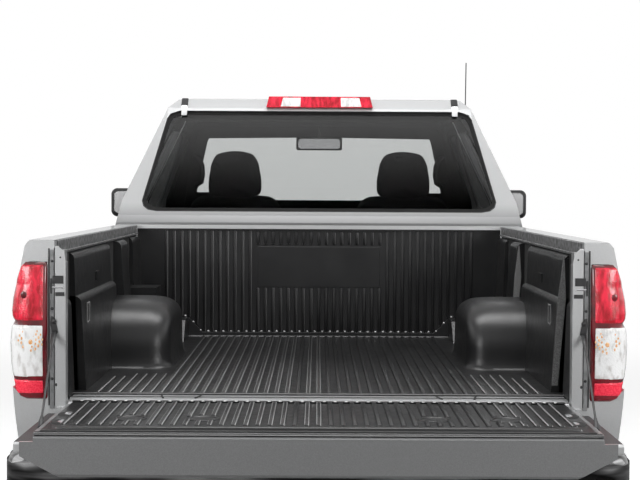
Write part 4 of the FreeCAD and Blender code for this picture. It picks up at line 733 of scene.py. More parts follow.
houses = Form()
levels = [(BASE_Z - 0.002, 0.012), (BASE_Z + 0.004, 0.007), (BASE_Z + 0.016, 0.003), (BASE_Z + 0.04, 0.001)]
levels += [(HOUSE_TOP - HOUSE_END_R * (1 - math.sin(math.radians(5 * k))), 0.0) for k in range(19)]
houses.skin([house_outline(z, grow) for z, grow in levels], closed=False, caps=False)
houses.add(house_outline(HOUSE_TOP), [tuple(range(22))])
houses.mirrored().piece("liner_wheelhouses", liner_black, instead="bed_liner", smooth=60)
print("wheelhouses:", len(houses.faces), "faces")


# %% Side walls
PANEL_ROUND = 0.022


def leaning_panel(form, y0, y1, top, foot_x, top_x, steps=6):
    """A raised wall panel whose face leans inward toward the floor, with a rounded upper edge."""
    outline = [(0.79, BASE_Z), (foot_x, BASE_Z)]
    for k in range(steps + 1):
        a = math.radians(90 * k / steps)
        outline.append((top_x + PANEL_ROUND * (1 - math.cos(a)), top - PANEL_ROUND * (1 - math.sin(a))))
    outline.append((0.79, top))
    form.prism(outline, "y", at(y0), at(y1))


walls = Form()
for panel in ((0.19, 0.97, 1.02, 0.732, 0.748), (0.19, 0.97, 1.158, 0.758, 0.770),
              (1.16, 1.35, 1.158, 0.728, 0.756), (0.02, 0.125, 1.02, 0.758, 0.768),
              (1.62, 1.865, 1.158, 0.756, 0.772)):
    leaning_panel(walls, *panel)
walls.prism([(at(1.62), BASE_Z), (at(1.70), BASE_Z + 0.084), (at(1.865), BASE_Z + 0.084),
             (at(1.865), BASE_Z)], "x", 0.56, 0.79)
walls.block((0.762, at(0.60), 1.045), (0.79, at(0.66), 1.075))
walls.mirrored()
walls.block((-0.79, at(1.45), BASE_Z), (-0.655, at(1.62), 0.962))
walls.piece("liner_walls", liner_black, instead="bed_liner", bevel=0.006, steps=3)
# Light grey strips on the right wall only: painted light where light catches the panels' rear faces.
edges = Form()
for y, strip in ((0.1885, [(0.7345, 0.745), (0.7535, 0.745), (0.7765, 1.02), (0.7705, 1.155), (0.7685, 1.155),
                           (0.7510, 1.02)]),
                 (1.1585, [(0.735, 0.80), (0.752, 0.80), (0.774, 1.03), (0.766, 1.15), (0.762, 1.15),
                           (0.748, 1.03)])):
    edges.prism(strip, "y", at(y - 0.0015), at(y + 0.0015))
edges.piece("liner_panel_edges", painted_light_edge, instead="bed_liner", bevel=0.0008)
# The slots' rims get the same light grey, as painted highlights.
slots = Form()
for y in (0.255, 0.30):
    slots.block((0.7385, at(y), 0.932), (0.7415, at(y + 0.006), 0.992))
for z in (0.930, 0.990):
    slots.block((0.7385, at(0.255), z), (0.7415, at(0.306), z + 0.005))
slots.mirrored().piece("liner_wall_slots", painted_light_edge, instead="bed_liner", bevel=0.001)
# Near-black: painted shade on the backs of the wall pockets, and the real black of print, gaps and rings
# elsewhere.
shade_print_and_gap_black = finish("pocket_shadow", (0.004, 0.004, 0.004), 0.9)
tint(shade_print_and_gap_black, (0.003, 0.003, 0.003), (0.007, 0.007, 0.007), 9)
backs = Form()
backs.block((0.786, at(0.01), BASE_Z), (0.79, at(1.87), 1.16))
backs.mirrored().piece("liner_pockets", shade_print_and_gap_black, instead="bed_liner", bevel=0.001)
print("side walls:", len(walls.faces), "faces")

# %% [markdown]
# ## The open tailgate and the sill
# The gate lies level, with its hinges under the bed's rear edge. Its own liner continues the ribs of
# the floor, with round hollows for cups and a ridge along the outer edge, and a row of moulded toes
# closes its flats; the toes and the ribs' upper edges are lighter, a painted highlight. Between the
# gate and the bed two bright strips of painted steel show with a dark gap between them.

# %% Gate liner
GATE_Z = 0.7225
GATE_HALF_LINER = 0.735
CUPS = [(side * x, -0.36) for x in (0.32, 0.52) for side in (1, -1)]
CUP_R = 0.046
gate_ribs = Form()
for k in range(-21, 22):
    x = k * RIB_PITCH
    stops = [-0.485, -0.064]
    for cup_x, cup_y in CUPS:
        if abs(x - cup_x) < CUP_R:
            half = math.sqrt(CUP_R ** 2 - (x - cup_x) ** 2)
            stops += [cup_y - half, cup_y + half]
    stops.sort()
    for y0, y1 in zip(stops[::2], stops[1::2]):
        rib(gate_ribs, (x, at(y0), GATE_Z), (x, at(y1), GATE_Z), RIB_W, RIB_H, (0, 0, 1))
rib(gate_ribs, (-0.70, at(-0.522), GATE_Z), (0.70, at(-0.522), GATE_Z), 0.026, 0.007, (0, 0, 1))
gate_ribs.piece("gate_ribs", liner_black, body="gate", instead="tailgate_liner", smooth=30, second=rib_painted_highlight,
                pick=shoulder)
gate_toes = Form()
for k in range(-22, 22):
    dome(gate_toes, ((k + 0.5) * RIB_PITCH, at(-0.0585), GATE_Z + 0.0045), (0.006, 0.0045, 0.003), 8, 2)
gate_toes.piece("gate_toes", toe_painted_highlight, body="gate", instead="tailgate_liner", smooth=60)
plate = Form()
plate.block((-GATE_HALF_LINER, at(-0.556), GATE_Z - 0.006), (GATE_HALF_LINER, at(-0.03), GATE_Z))
plate.block((-GATE_HALF_LINER, at(-0.062), GATE_Z), (GATE_HALF_LINER, at(-0.05), GATE_Z + 0.006))
plate.piece("gate_liner_plate", liner_black, body="gate", instead="tailgate_liner", bevel=0.003)
hollows = Form()
for cup_x, cup_y in CUPS:
    hollows.turned([(0.0, 0.036), (0.0024, 0.038), (0.003, 0.042), (0.0015, 0.0455), (-0.001, 0.046)],
                   (cup_x, at(cup_y), GATE_Z), axis="z", steps=40)
    dome(hollows, (cup_x, at(cup_y), GATE_Z), (0.036, 0.036, 0.0006), 32, 2)
hollows.piece("gate_cup_hollows", liner_black, body="gate", instead="tailgate_liner", smooth=60)
print("gate ribs:", len(gate_ribs.faces), "faces")

# %% Sill strips
sill = Form()
sill.prism([(at(0.028), 0.700), (at(0.028), 0.716), (at(0.034), 0.7215), (at(0.094), 0.7235),
            (at(0.094), 0.705)], "x", -0.757, 0.757)
sill.piece("bed_sill", paint, bevel=0.002)
nose = Form()
nose.prism([(at(-0.048), 0.700), (at(-0.048), 0.7215), (at(-0.026), 0.7225), (at(-0.022), 0.718),
            (at(-0.022), 0.700)], "x", -0.749, 0.749)
nose.piece("gate_front_edge", paint, body="gate", bevel=0.002)
notches = Form()
for x0, x1 in ((0.482, 0.470), (0.358, 0.372)):
    notches.prism([(x0, at(0.094)), (x0 + 0.006, at(0.094)), (x1 + 0.006, at(0.030)), (x1, at(0.030))], "z",
                  0.7215, 0.7245)
notches.block((0.0, at(0.055), 0.7215), (0.757, at(0.060), 0.7238))
notches.mirrored().piece("sill_notches", shade_print_and_gap_black, bevel=0.0004)
print("sill:", len(sill.faces), "faces")

# %% [markdown]
# ## Tail lamps
# Each tail lamp wraps around the rear corner of the bed. Its form is a stack of level slices: the
# inner edge is straight, the rear face is gently bowed, and the outer edge follows the body's side
# with a small notch where the red part meets the clear one. The same slices, drawn in a little, give
# the dark surround, the red lens above, the clear lens and the reflector below. Small amber domes on
# the clear lens are what its prisms show of the bulb, and a dark one on the red lens is the other bulb.

# %% Tail lamps
LAMP_EDGE = ((0.729, 0.874), (0.738, 0.893), (0.756, 0.908), (0.791, 0.919), (0.836, 0.924), (0.896, 0.926),
             (0.946, 0.922), (0.964, 0.913), (0.976, 0.919), (0.994, 0.921), (1.03, 0.918), (1.06, 0.912),
             (1.089, 0.905), (1.119, 0.892), (1.14, 0.879))
LAMP_LOW = LAMP_EDGE[0][0]
LAMP_TOP = LAMP_EDGE[-1][0]
LAMP_IN = 0.811
LAMP_REAR = -0.047
LAMP_ROUND = ((0.030, 0.002), (0.013, 0.011), (0.004, 0.028))


def lamp_edge(z):
    """How far out the lamp reaches at this height."""
    for (z0, x0), (z1, x1) in zip(LAMP_EDGE, LAMP_EDGE[1:]):
        if z <= z1:
            return x0 + (x1 - x0) * (z - z0) / (z1 - z0)
    return LAMP_EDGE[-1][1]


def lamp_slices(low, high, inset, proud, rows=44):
    """The lamp between two heights, drawn in at its sides and pushed out to the rear."""
    form = Form()
    rings = []
    for k in range(rows + 1):
        z = low + (high - low) * k / rows
        near = min(z - low, high - z)
        fade = math.sqrt(min(1, near / 0.008))
        reach = lamp_edge(z) + 0.6 * proud - 0.002 * (1 - fade)
        inner = LAMP_IN + inset
        soft = min(1, max(0.12, min((LAMP_TOP + 0.002 - z) / 0.07, (z + 0.002 - LAMP_LOW) / 0.05)))
        bow = 0.012 * math.sin(math.pi * (z - LAMP_LOW) / (LAMP_TOP - LAMP_LOW))
        back = LAMP_REAR - bow - proud * fade + 0.0045 * (1 - fade)
        ring = [(inner, 0.03), (inner, back + 0.006), (inner + 0.005, back)]
        ring += [((inner + reach) / 2, back - 0.003 * soft)]
        ring += [(reach - u * soft, back + v * soft) for u, v in LAMP_ROUND]
        front = 0.056 - 0.3 * inset
        ring += [(reach, back + 0.01 + 0.045 * soft), (reach, front), (inner, front)]
        rings.append([(x, at(y), z) for x, y in ring])
    form.skin(rings)
    return form.mirrored()


lamp_parts = {
    "lamp_surround": (0.730, 1.139, 0.0, 0.0, dark_red),
    "lamp_red": (0.962, 1.134, 0.007, 0.002, red_lens),
    "lamp_clear": (0.794, 0.955, 0.008, 0.002, clear_lens),
    "lamp_reflector": (0.744, 0.790, 0.008, 0.002, bright_red),
}
for name, (low, high, inset, proud, look) in lamp_parts.items():
    lamp_slices(low, high, inset, proud).piece(name, look, slot="lamp_red", instead="tail_lamps", smooth=60)
bulbs = Form()
dome(bulbs, (0.858, at(LAMP_REAR - 0.0150), 0.902), (0.007, 0.002, 0.008))
for ring, count, size in ((0.017, 8, 0.0030), (0.027, 13, 0.0034), (0.036, 15, 0.0026)):
    for k in range(count):
        a = math.radians(360 * k / count + 900 * ring)
        if ring > 0.03 and math.sin(a) < -0.3:
            continue
        dome(bulbs, (0.858 - ring * math.cos(a), at(LAMP_REAR - 0.0145), 0.904 + ring * math.sin(a)),
             (size, 0.0012, size * 1.5), 8, 2)
bulbs.mirrored().piece("lamp_bulbs", amber, smooth=60)
patches = Form()
dome(patches, (0.878, at(LAMP_REAR - 0.013), 1.042), (0.009, 0.002, 0.011), 12, 3)
patches.mirrored().piece("lamp_brake_bulbs", dark_red, smooth=60)
print("lamp pieces:", len(lamp_parts) + 1)

# %% [markdown]
# ## Inside the cab
# The cab's shell is one CAD solid, but its inside is covered with dark trim on a real truck. Faces
# that look toward the middle of the cabin get the trim's finish in a second material slot, and the
# outer skin keeps the paint. The doors are dressed in the same way.

# %% Cabin trim
def inside(share):
    """A test for faces in the cabin that look at its middle."""
    def pick(centre, normal):
        toward = Vector((0, min(max(centre.y, 0.0), 0.9), 1.25)) - centre
        within = abs(centre.x) < 0.885 and 0.5 < centre.z < 1.752 and centre.y > -0.29
        return within and normal.dot(toward.normalized()) > share
    return pick


trimmed = [recolour(nodes["cab_shell"].data, cabin_grey, inside(0.25))]
for side in SIDES:
    for door in ("front_door_", "half_door_"):
        trimmed.append(recolour(nodes[door + side].data, cabin_grey, inside(0.6)))
print("trimmed faces:", trimmed)

# %% [markdown]
# ## Rails and corner posts
# The liner stops below the bed's rim. Between the two runs the folded steel flange of the rail, a dull
# mottled grey that is a painted reflection of the dark bed on its silver paint. At the rear, a bright
# painted flange closes each corner post, with the tailgate's striker on it, and a channel with a
# rubber seal runs between the flange and the lamp, in a grey that is painted shade on the silver
# paint. Everything on the post stays almost flat, because the closed gate passes a centimetre behind it.

# %% Rails and corner posts
POST_Y = -0.0405
# Silver paint in a darker grey: painted shade on the post channels and the gate's side edges.
shaded_silver_paint = finish("shaded_paint", (0.22, 0.223, 0.226), 0.4, Metallic=0.5)
tint(shaded_silver_paint, (0.17, 0.173, 0.176), (0.27, 0.273, 0.276), 30)
rails = Form()
rails.block((0.783, at(0.0), 1.166), (0.7895, at(1.868), 1.203))
rails.block((0.779, at(0.0), 1.164), (0.7895, at(1.868), 1.170))
rails.mirrored().piece("rail_flanges", rail_painted_reflection, bevel=0.002)
corners = Form()
corners.block((0.781, at(1.848), 1.106), (0.7895, at(1.856), 1.192))
corners.mirrored().piece("bed_front_corners", paint, bevel=0.002)
flange = Form()
flange.prism([(0.788, 0.700), (0.788, 1.184), (0.785, 1.1865), (0.778, 1.186), (0.769, 1.178), (0.762, 1.166),
              (0.758, 1.15), (0.7565, 1.13), (0.7565, 0.700)], "y", at(POST_Y - 0.002), at(POST_Y + 0.002))
flange.block((0.7565, at(POST_Y), 0.700), (0.7595, at(-0.004), 1.14))
flange.mirrored().piece("post_flanges", paint, bevel=0.0012)
channel = Form()
channel.block((0.7895, at(POST_Y - 0.001), 0.700), (0.8035, at(POST_Y + 0.001), 1.176))
channel.mirrored().piece("post_channels", shaded_silver_paint, bevel=0.0008)
seals = Form()
for x, radius, sides in ((0.8065, 0.0022, 8), (0.7905, 0.0012, 6)):
    seals.tube([(x, at(POST_Y - 0.0012), 0.71 + 0.047 * k) for k in range(11)], radius, sides)
seals.mirrored().piece("post_seals", trim_black, smooth=60)
print("post pieces:", len(flange.faces) + len(channel.faces), "faces")

# %% Strikers, bolts and buffers on the posts
striker = Form()
for x0, x1, deep, z0, z1 in ((0.763, 0.795, 0.0038, 1.0745, 1.0985), (0.760, 0.787, 0.0035, 1.0375, 1.0495),
                             (0.797, 0.802, 0.0035, 1.045, 1.09)):
    striker.block((x0, at(POST_Y - deep), z0), (x1, at(POST_Y), z1))
for z in (1.142, 1.0, 0.79):
    dome(striker, (0.797, at(POST_Y - 0.001), z), (0.0045, 0.003, 0.0045), 10, 3)
dome(striker, (0.785, at(POST_Y - 0.002), 0.772), (0.0035, 0.002, 0.005), 10, 3)
dome(striker, (0.772, at(POST_Y - 0.002), 1.153), (0.003, 0.001, 0.003), 10, 3)
striker.mirrored().piece("post_fittings", trim_black, bevel=0.001)
pins = Form()
pins.turned([(0.764, 0.0), (0.764, 0.0042), (0.766, 0.0042), (0.7662, 0.0032), (0.797, 0.0032),
             (0.797, 0.0)], (0, at(POST_Y - 0.0006), 1.0635), steps=20)
pins.block((0.764, at(POST_Y - 0.0012), 1.050), (0.786, at(POST_Y - 0.0004), 1.0745))
pins.mirrored().piece("striker_pins", chrome, bevel=0.0004)
print("fittings:", len(striker.faces), "faces")

# %% [markdown]
# ## Tailgate cables
# Each cable is a steel rope in black plastic, with a thick moulded sleeve at both ends. It leads from
# a hinged eye on the post down to a pin on the gate's side. A rope has no shape of its own. Here the
# cable is taken off its body and stays where it is made.

# %% Tailgate cables
CABLE_TOP = Vector((0.790, at(-0.045), 0.930))
CABLE_LOW = Vector((0.7543, at(-0.450), 0.705))
cables = Form()
cables.tube([CABLE_TOP.lerp(CABLE_LOW, k / 12) for k in range(13)], 0.0032, 10)


def sleeve(form, start, end, profile):
    """A turned sleeve around the cable between two shares of its length."""
    a = CABLE_TOP.lerp(CABLE_LOW, start)
    b = CABLE_TOP.lerp(CABLE_LOW, end)
    ahead = (b - a).normalized()
    across = ahead.orthogonal().normalized()
    other = ahead.cross(across)
    form.skin([[a.lerp(b, share) + r * (across * math.cos(t) + other * math.sin(t)) for t in angles(14)]
               for share, r in profile])


sleeve(cables, 0.0, 0.17, ((0.0, 0.0045), (0.05, 0.0075), (0.6, 0.0075), (0.9, 0.0045), (1.0, 0.0034)))
sleeve(cables, 0.86, 0.985, ((0.0, 0.0034), (0.15, 0.0048), (0.5, 0.0072), (0.95, 0.0078), (1.0, 0.006)))
cable = cables.mirrored().piece("gate_cables", trim_black, instead="tailgate_cables", smooth=60)
cable.parent = None
cable.matrix_world.identity()
del cable["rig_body"]
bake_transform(cable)
eyes = Form()
eyes.prism([(0.779, 0.930), (0.783, 0.952), (0.790, 0.975), (0.800, 0.978), (0.802, 0.955), (0.797, 0.925),
            (0.786, 0.920)], "y", at(-0.0455), at(-0.041))
dome(eyes, (0.7905, at(-0.0455), 0.962), (0.0075, 0.003, 0.0075), 14, 3)
eyes.mirrored().piece("cable_eyes", trim_black, bevel=0.001)
print("cable length:", round((CABLE_TOP - CABLE_LOW).length, 3), "m")

# %% [markdown]
# ## Details of the open gate
# Two oval steel plates are set in each outer corner of the gate, where its edge is painted. They are
# low domes in a black ring. Along the gate's side runs a strip of its painted edge in a darker grey,
# painted shade.

# %% Gate plates
rings = Form()
plates = Form()
for x, y in ((0.7065, -0.283), (0.701, -0.42)):
    dome(rings, (x, at(y), GATE_Z + 0.0004), (0.0285, 0.046, 0.0022), 28, 3)
    dome(plates, (x - 0.003, at(y), GATE_Z + 0.0022), (0.013, 0.024, 0.0022), 24, 3)
rings.mirrored().piece("gate_plate_rings", shade_print_and_gap_black, body="gate", smooth=60)
plates.mirrored().piece("gate_plates", alloy, body="gate", smooth=60)
gate_steel = Form()
gate_steel.prism([(0.737, at(-0.075)), (0.7485, at(-0.075)), (0.7485, at(-0.555)), (0.737, at(-0.555))],
                 "z", 0.7165, 0.7195)
gate_steel.mirrored().piece("gate_side_steel", shaded_silver_paint, body="gate", bevel=0.001)
print("gate plates:", len(plates.faces), "faces")

# %% [markdown]
# ## Roof trim and the high brake lamp
# A black strip covers the welded joint along each side of the roof and ends in a cap above the rear
# glass. The brake lamp in the roof's rear edge is red, with two clear windows.

# %% Roof trim
ROOF_LINE = ((2.060, 1.690), (2.078, 1.730), (2.117, 1.7605), (2.3, 1.7625), (2.6, 1.763), (2.9, 1.7625),
             (3.10, 1.7505), (3.150, 1.741), (3.225, 1.711))
trims = Form()
trims.skin([[(x, at(y), z + rise) for x, rise in ((0.586, -0.004), (0.586, 0.0035), (0.590, 0.0055),
                                                    (0.611, 0.0055), (0.615, 0.0035), (0.615, -0.004))]
            for y, z in ROOF_LINE[1:]])
trims.mirrored().piece("roof_joint_trims", trim_black, smooth=40)
tips = Form()
tips.skin([[(x, at(y), z + rise) for x, rise in ((0.588, -0.003), (0.588, 0.002), (0.613, 0.002),
                                                   (0.613, -0.003))] for y, z in ROOF_LINE[:2]])
tips.mirrored().piece("roof_joint_ends", paint, smooth=40)
windows = Form()
for x0, x1, x2, x3 in ((-0.172, -0.085, -0.083, -0.162), (0.095, 0.186, 0.176, 0.094)):
    windows.prism([(x0, 1.7275), (x1, 1.7275), (x2, 1.7665), (x3, 1.7665)], "y", at(2.0535), at(2.0565))
windows.piece("brake_lamp_windows", clear_lens, bevel=0.001)
print("roof trims:", len(trims.faces), "faces")

# %% [markdown]
# ## The rear pane's frame
# A black printed band with a rubber lip frames the rear pane and hides its glued edge. Both are thin
# frames that follow the pane's outline and lean as it does.

# %% Rear pane
PANE_EDGE = ((0.0, 1.262), (0.712, 1.262), (0.748, 1.268), (0.769, 1.284), (0.776, 1.308), (0.676, 1.672),
             (0.662, 1.694), (0.622, 1.708), (0.0, 1.708))
PANE_MIDDLE = 1.48


def pane_y(z, proud):
    """How far forward the rear pane's outer face is at this height, less a small rise."""
    return at(1.947 + 0.010 + (z - 1.245) * 126 / 475) - proud


def closed_loop(points):
    """A half outline of x and z points with its mirror image."""
    return points + [(-x, z) for x, z in reversed(points) if x > 0]


def pane_loop(inset):
    """The pane's outline, drawn in by an inset."""
    points = []
    for x, z in PANE_EDGE:
        toward = (1 if z < PANE_MIDDLE else -1) * min(1, abs(z - PANE_MIDDLE) / 0.2)
        points.append((max(x - inset, 0) if x else 0, z + inset * toward))
    return closed_loop(points)


def pane_band(name, look, outer, inner, proud, deep):
    """A frame on the rear pane between two insets from its edge."""
    form = Form()
    form.band([[(x, pane_y(z, rise), z) for x, z in pane_loop(inset)]
               for inset, rise in ((outer, -deep), (outer, proud), (inner, proud), (inner, -deep))])
    form.piece(name, look, smooth=30)


pane_band("rear_pane_print", shade_print_and_gap_black, 0.002, 0.016, 0.0006, 0.0002)
pane_band("rear_pane_lip", trim_black, -0.001, 0.003, 0.0025, 0.001)
print("rear pane bands:", len(PANE_EDGE), "points a side")

# %% [markdown]
# ## The windscreen's border and the grips
# The windscreen has a black printed border, which is wide along the lower edge, where it hides the
# dashboard's joint. A grip on each windscreen pillar shows against the light.

# %% Windscreen border
def wind_y(z):
    """How far forward the windscreen's inner face is at this height."""
    return at(3.822 - (z - 1.1996) * 1.2429)


BORDER_OUT = [(0.0, 1.206), (0.45, 1.206), (0.50, 1.206), (0.784, 1.206), (0.722, 1.42), (0.660, 1.652),
              (0.620, 1.700), (0.0, 1.700)]
BORDER_IN = [(0.0, 1.302), (0.45, 1.302), (0.50, 1.344), (0.676, 1.344), (0.645, 1.45), (0.592, 1.612),
             (0.582, 1.629), (0.0, 1.636)]
border = Form()
border.band([[(x, wind_y(z) - deep, z) for x, z in closed_loop(points)]
             for points, deep in ((BORDER_OUT, 0.002), (BORDER_OUT, 0.004), (BORDER_IN, 0.004),
                                  (BORDER_IN, 0.002))])
border.piece("windscreen_border", shade_print_and_gap_black, smooth=30)
grips = Form()
grips.tube([(0.665, at(3.40), 1.545), (0.643, at(3.40), 1.522), (0.630, at(3.41), 1.487),
            (0.628, at(3.43), 1.44), (0.638, at(3.47), 1.400), (0.672, at(3.49), 1.380)], 0.014, 12)
grips.mirrored().piece("pillar_grips", cabin_grey, smooth=60)
print("border:", len(border.faces), "faces")

# %% [markdown]
# ## Mirrors
# The inner mirror and the two door mirrors are soft black housings, and each has a silvered glass set a
# little into its rear face.

# %% Mirrors
mirror_glass = finish("mirror_glass", (0.26, 0.26, 0.263), 0.2, Metallic=0.7)
rough(mirror_glass, 0.16, 0.24, 4)


def plaque(low, high, radius, steps=6):
    """The outline of a rectangle with round corners."""
    points = []
    for turn, u, v in ((0, high[0] - radius, high[1] - radius), (90, low[0] + radius, high[1] - radius),
                       (180, low[0] + radius, low[1] + radius), (270, high[0] - radius, low[1] + radius)):
        for k in range(steps + 1):
            a = math.radians(turn + 90 * k / steps)
            points.append((u + radius * math.cos(a), v + radius * math.sin(a)))
    return points


inner_glass = Form()
inner_glass.prism(plaque((-0.110, 1.5735), (0.110, 1.6265), 0.018), "y", at(3.1785), at(3.183))
silvered = finish("silvered_glass", (0.85, 0.85, 0.86), 0.1, Metallic=1.0)
rough(silvered, 0.06, 0.12, 4)
inner_glass.piece("inner_mirror_glass", silvered, bevel=0.001)


def on_doors(form, name, look, **how):
    """Puts a form that was made for the right front door on it, and its mirror image on the left one."""
    for side, way in SIDES.items():
        form.placed((0, 0, 0), way).piece(name + "_" + side, look, body="door_" + side, **how)


door_mirror = Form()
door_mirror.prism(plaque((0.985, 1.227), (1.121, 1.347), 0.024), "y", at(3.5435), at(3.549))
on_doors(door_mirror, "door_mirror_glass", mirror_glass, bevel=0.001)
print("mirrors:", 3)

# %% [markdown]
# ## Seats
# A seat is foam in a sewn cover, so it swells between its seams. Each cushion starts as a smooth crowned
# form that is a little too small. Blender's cloth solver inflates it like a balloon for twenty frames,
# and a cap keeps every point near its start. After that, sewn channels are pressed into the surface.
# The left seat is the mirror image of the right one, so each form is inflated only once.

# %% Cushion tools
CLOTH_FRAMES = 20
CLOTH_PRESSURE = 4


def power_curve(value, power):
    """A power that keeps its value's sign."""
    return math.copysign(abs(value) ** power, value)


def crowned(centre, half, power=0.34, rows=18, steps=44, shape=None):
    """A closed form between an ellipsoid and a box."""
    form = Form()
    rings = []
    for r in range(-rows, rows + 1):
        v = 0.5 * math.pi * r / rows * 0.996
        ring = []
        for u in angles(steps):
            x = half[0] * power_curve(math.cos(u), power) * power_curve(math.cos(v), power)
            y = half[1] * power_curve(math.sin(u), power) * power_curve(math.cos(v), power)
            z = half[2] * power_curve(math.sin(v), power)
            if shape:
                x, y, z = shape(x, y, z)
            ring.append((centre[0] + x, centre[1] + y, centre[2] + z))
        rings.append(ring)
    form.skin(rings)
    return form


def inflated(mesh, voxel, cap):
    """Swells a mesh with the cloth solver and returns the result as a new mesh."""
    obj = bpy.data.objects.new("swelling", mesh)
    scene.collection.objects.link(obj)
    even = obj.modifiers.new("even", "REMESH")
    even.mode = "VOXEL"
    even.voxel_size = voxel
    result = bpy.data.meshes.new_from_object(obj.evaluated_get(bpy.context.evaluated_depsgraph_get()))
    obj.modifiers.clear()
    obj.data = result
    start = [v.co.copy() for v in result.vertices]
    solver = obj.modifiers.new("cloth", "CLOTH")
    solver.settings.use_pressure = True
    solver.settings.uniform_pressure_force = CLOTH_PRESSURE
    solver.settings.effector_weights.gravity = 0
    solver.point_cache.frame_start = 1
    solver.point_cache.frame_end = CLOTH_FRAMES
    for number in range(1, CLOTH_FRAMES + 1):
        scene.frame_set(number)
    swollen = obj.evaluated_get(bpy.context.evaluated_depsgraph_get())
    result = bpy.data.meshes.new_from_object(swollen)
    for vertex, old in zip(result.vertices, start):
        move = vertex.co - old
        if move.length > cap:
            vertex.co = old + move * (cap / move.length)
    scene.frame_set(1)
    bpy.data.objects.remove(obj)
    return result


def pressed(mesh, lines, width, depth):
    """Presses sewn channels into a cushion; a line is the axis, its place and the range along the other."""
    for vertex in mesh.vertices:
        deepest = 0
        for axis, place, other, low, high in lines:
            away = abs(vertex.co[axis] - place) / width
            if away < 1 and low < vertex.co[other] < high:
                deepest = max(deepest, (1 - away * away) ** 2)
        if deepest:
            vertex.co -= vertex.normal * (depth * deepest)


def cushion(name, form, node, lines, lean=0, pivot=(0, 0, 0), voxel=0.009, cap=0.012):
    """Inflates a form and places it on both sides of the cab."""
    raw = bpy.data.meshes.new(name)
    raw.from_pydata(form.points, [], form.faces)
    mesh = inflated(raw, voxel, cap)
    pressed(mesh, lines, 0.011, 0.009)
    if lean:
        middle = Matrix.Translation(pivot)
        mesh.transform(middle @ Matrix.Rotation(math.radians(lean), 4, "X") @ middle.inverted())
    mesh.materials.clear()
    mesh.materials.append(cloth)
    mesh.shade_smooth()
    other = mesh.copy()
    other.transform(Matrix.Scale(-1, 4, (1, 0, 0)))
    other.flip_normals()
    for side, data in zip(SIDES, (mesh, other)):
        obj = bpy.data.objects.new(name + "_" + side, data)
        scene.collection.objects.link(obj)
        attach(obj, "truck")
        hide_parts(node)
    print(name, "has", len(mesh.vertices), "points")


# %% [markdown]
# ## Front and rear seats
# The front seats have raised side bolsters and high head restraints on chromed posts, which show
# against the windscreen. The rear ones are small folding seats with thin cushions. `seams` lays two
# channels beside a cushion's middle and others between them, as the covers are sewn.

# %% Front seats
def seams(middle, half, axis, low, high, across=()):
    """Two channels beside a cushion's middle, and others that lead from one to the other."""
    lines = [(0, middle + side * half, axis, low, high) for side in (-1, 1)]
    return lines + [(axis, place, 0, middle - half, middle + half) for place in across]


def seat_sides(x, y, z):
    """Raises the cushion's side bolsters."""
    lift = max(0, abs(x) / 0.204 - 0.58) * 0.03 if z > 0 else 0
    return x, y, z + lift


def back_sides(x, y, z):
    """Brings the side bolsters of the backrest forward and narrows its shoulders."""
    push = max(0, abs(x) / 0.247 - 0.6) * 0.05 if y > 0 else 0
    narrow = 1 - 0.12 * max(0, z / 0.262 - 0.45)
    return x * narrow, y + push, z


def rest_taper(x, y, z):
    """The head restraint is widest at its foot."""
    return x * (1 - 0.15 * (z / 0.106)), y, z


SEAT_X = 0.405
cushion("front_cushion", crowned((SEAT_X, at(2.975), 0.763), (0.204, 0.287, 0.056), shape=seat_sides),
        "front_seats", seams(SEAT_X, 0.118, 1, at(2.73), at(3.22), (at(3.10), at(2.86))))
cushion("front_back", crowned((SEAT_X, at(2.700), 1.073), (0.247, 0.074, 0.275), shape=back_sides),
        "front_seats", seams(SEAT_X, 0.135, 2, 0.86, 1.27, (1.18, 0.98)), lean=12,
        pivot=(0, at(2.700), 0.800))
cushion("head_restraint", crowned((0.402, at(2.548), 1.430), (0.117, 0.042, 0.106), shape=rest_taper),
        "front_seats", [(1, at(2.568), 2, 1.36, 1.53)], voxel=0.006, cap=0.008)
bases = Form()
bases.block((SEAT_X - 0.165, at(2.79), 0.56), (SEAT_X + 0.165, at(3.22), 0.705))
bases.block((SEAT_X - 0.215, at(2.72), 0.66), (SEAT_X - 0.195, at(3.10), 0.735))
bases.block((SEAT_X + 0.195, at(2.72), 0.66), (SEAT_X + 0.215, at(3.10), 0.735))
for x in (SEAT_X - 0.17, SEAT_X + 0.15):
    bases.block((x, at(2.74), 0.530), (x + 0.02, at(3.26), 0.556))
bases.mirrored().piece("seat_bases", trim_black, instead="front_seats", bevel=0.006)
posts = Form()
for x in (SEAT_X - 0.07, SEAT_X + 0.07):
    posts.tube([(x, at(2.560), 1.27), (x, at(2.552), 1.40)], 0.006, 10)
posts.mirrored().piece("head_restraint_posts", chrome, instead="front_seats", smooth=60)
print("seat bases:", len(bases.faces), "faces")

# %% Rear seats
REAR_SEAT_X = 0.400
cushion("rear_cushion", crowned((REAR_SEAT_X, at(2.150), 0.850), (0.222, 0.142, 0.042)), "rear_seats",
        seams(REAR_SEAT_X, 0.13, 1, at(2.03), at(2.28)))
cushion("rear_back", crowned((REAR_SEAT_X, at(2.030), 1.040), (0.222, 0.037, 0.152)), "rear_seats",
        seams(REAR_SEAT_X, 0.13, 2, 0.91, 1.17))
rear_base = Form()
rear_base.prism([(at(1.985), 0.53), (at(1.985), 0.81), (at(2.28), 0.81), (at(2.24), 0.53)], "x", 0.20, 0.60)
rear_base.mirrored().piece("rear_seat_bases", cabin_grey, instead="rear_seats", bevel=0.008)
print("rear seat bases:", len(rear_base.faces), "faces")

# %% [markdown]
# ## Tyres
# A tyre is a lathe profile with bulged walls. Its tread is made of five rings of separate blocks, and
# every block is slanted a little. The outer rings step down over the shoulder, and a ridge around each
# side wall protects the rim.

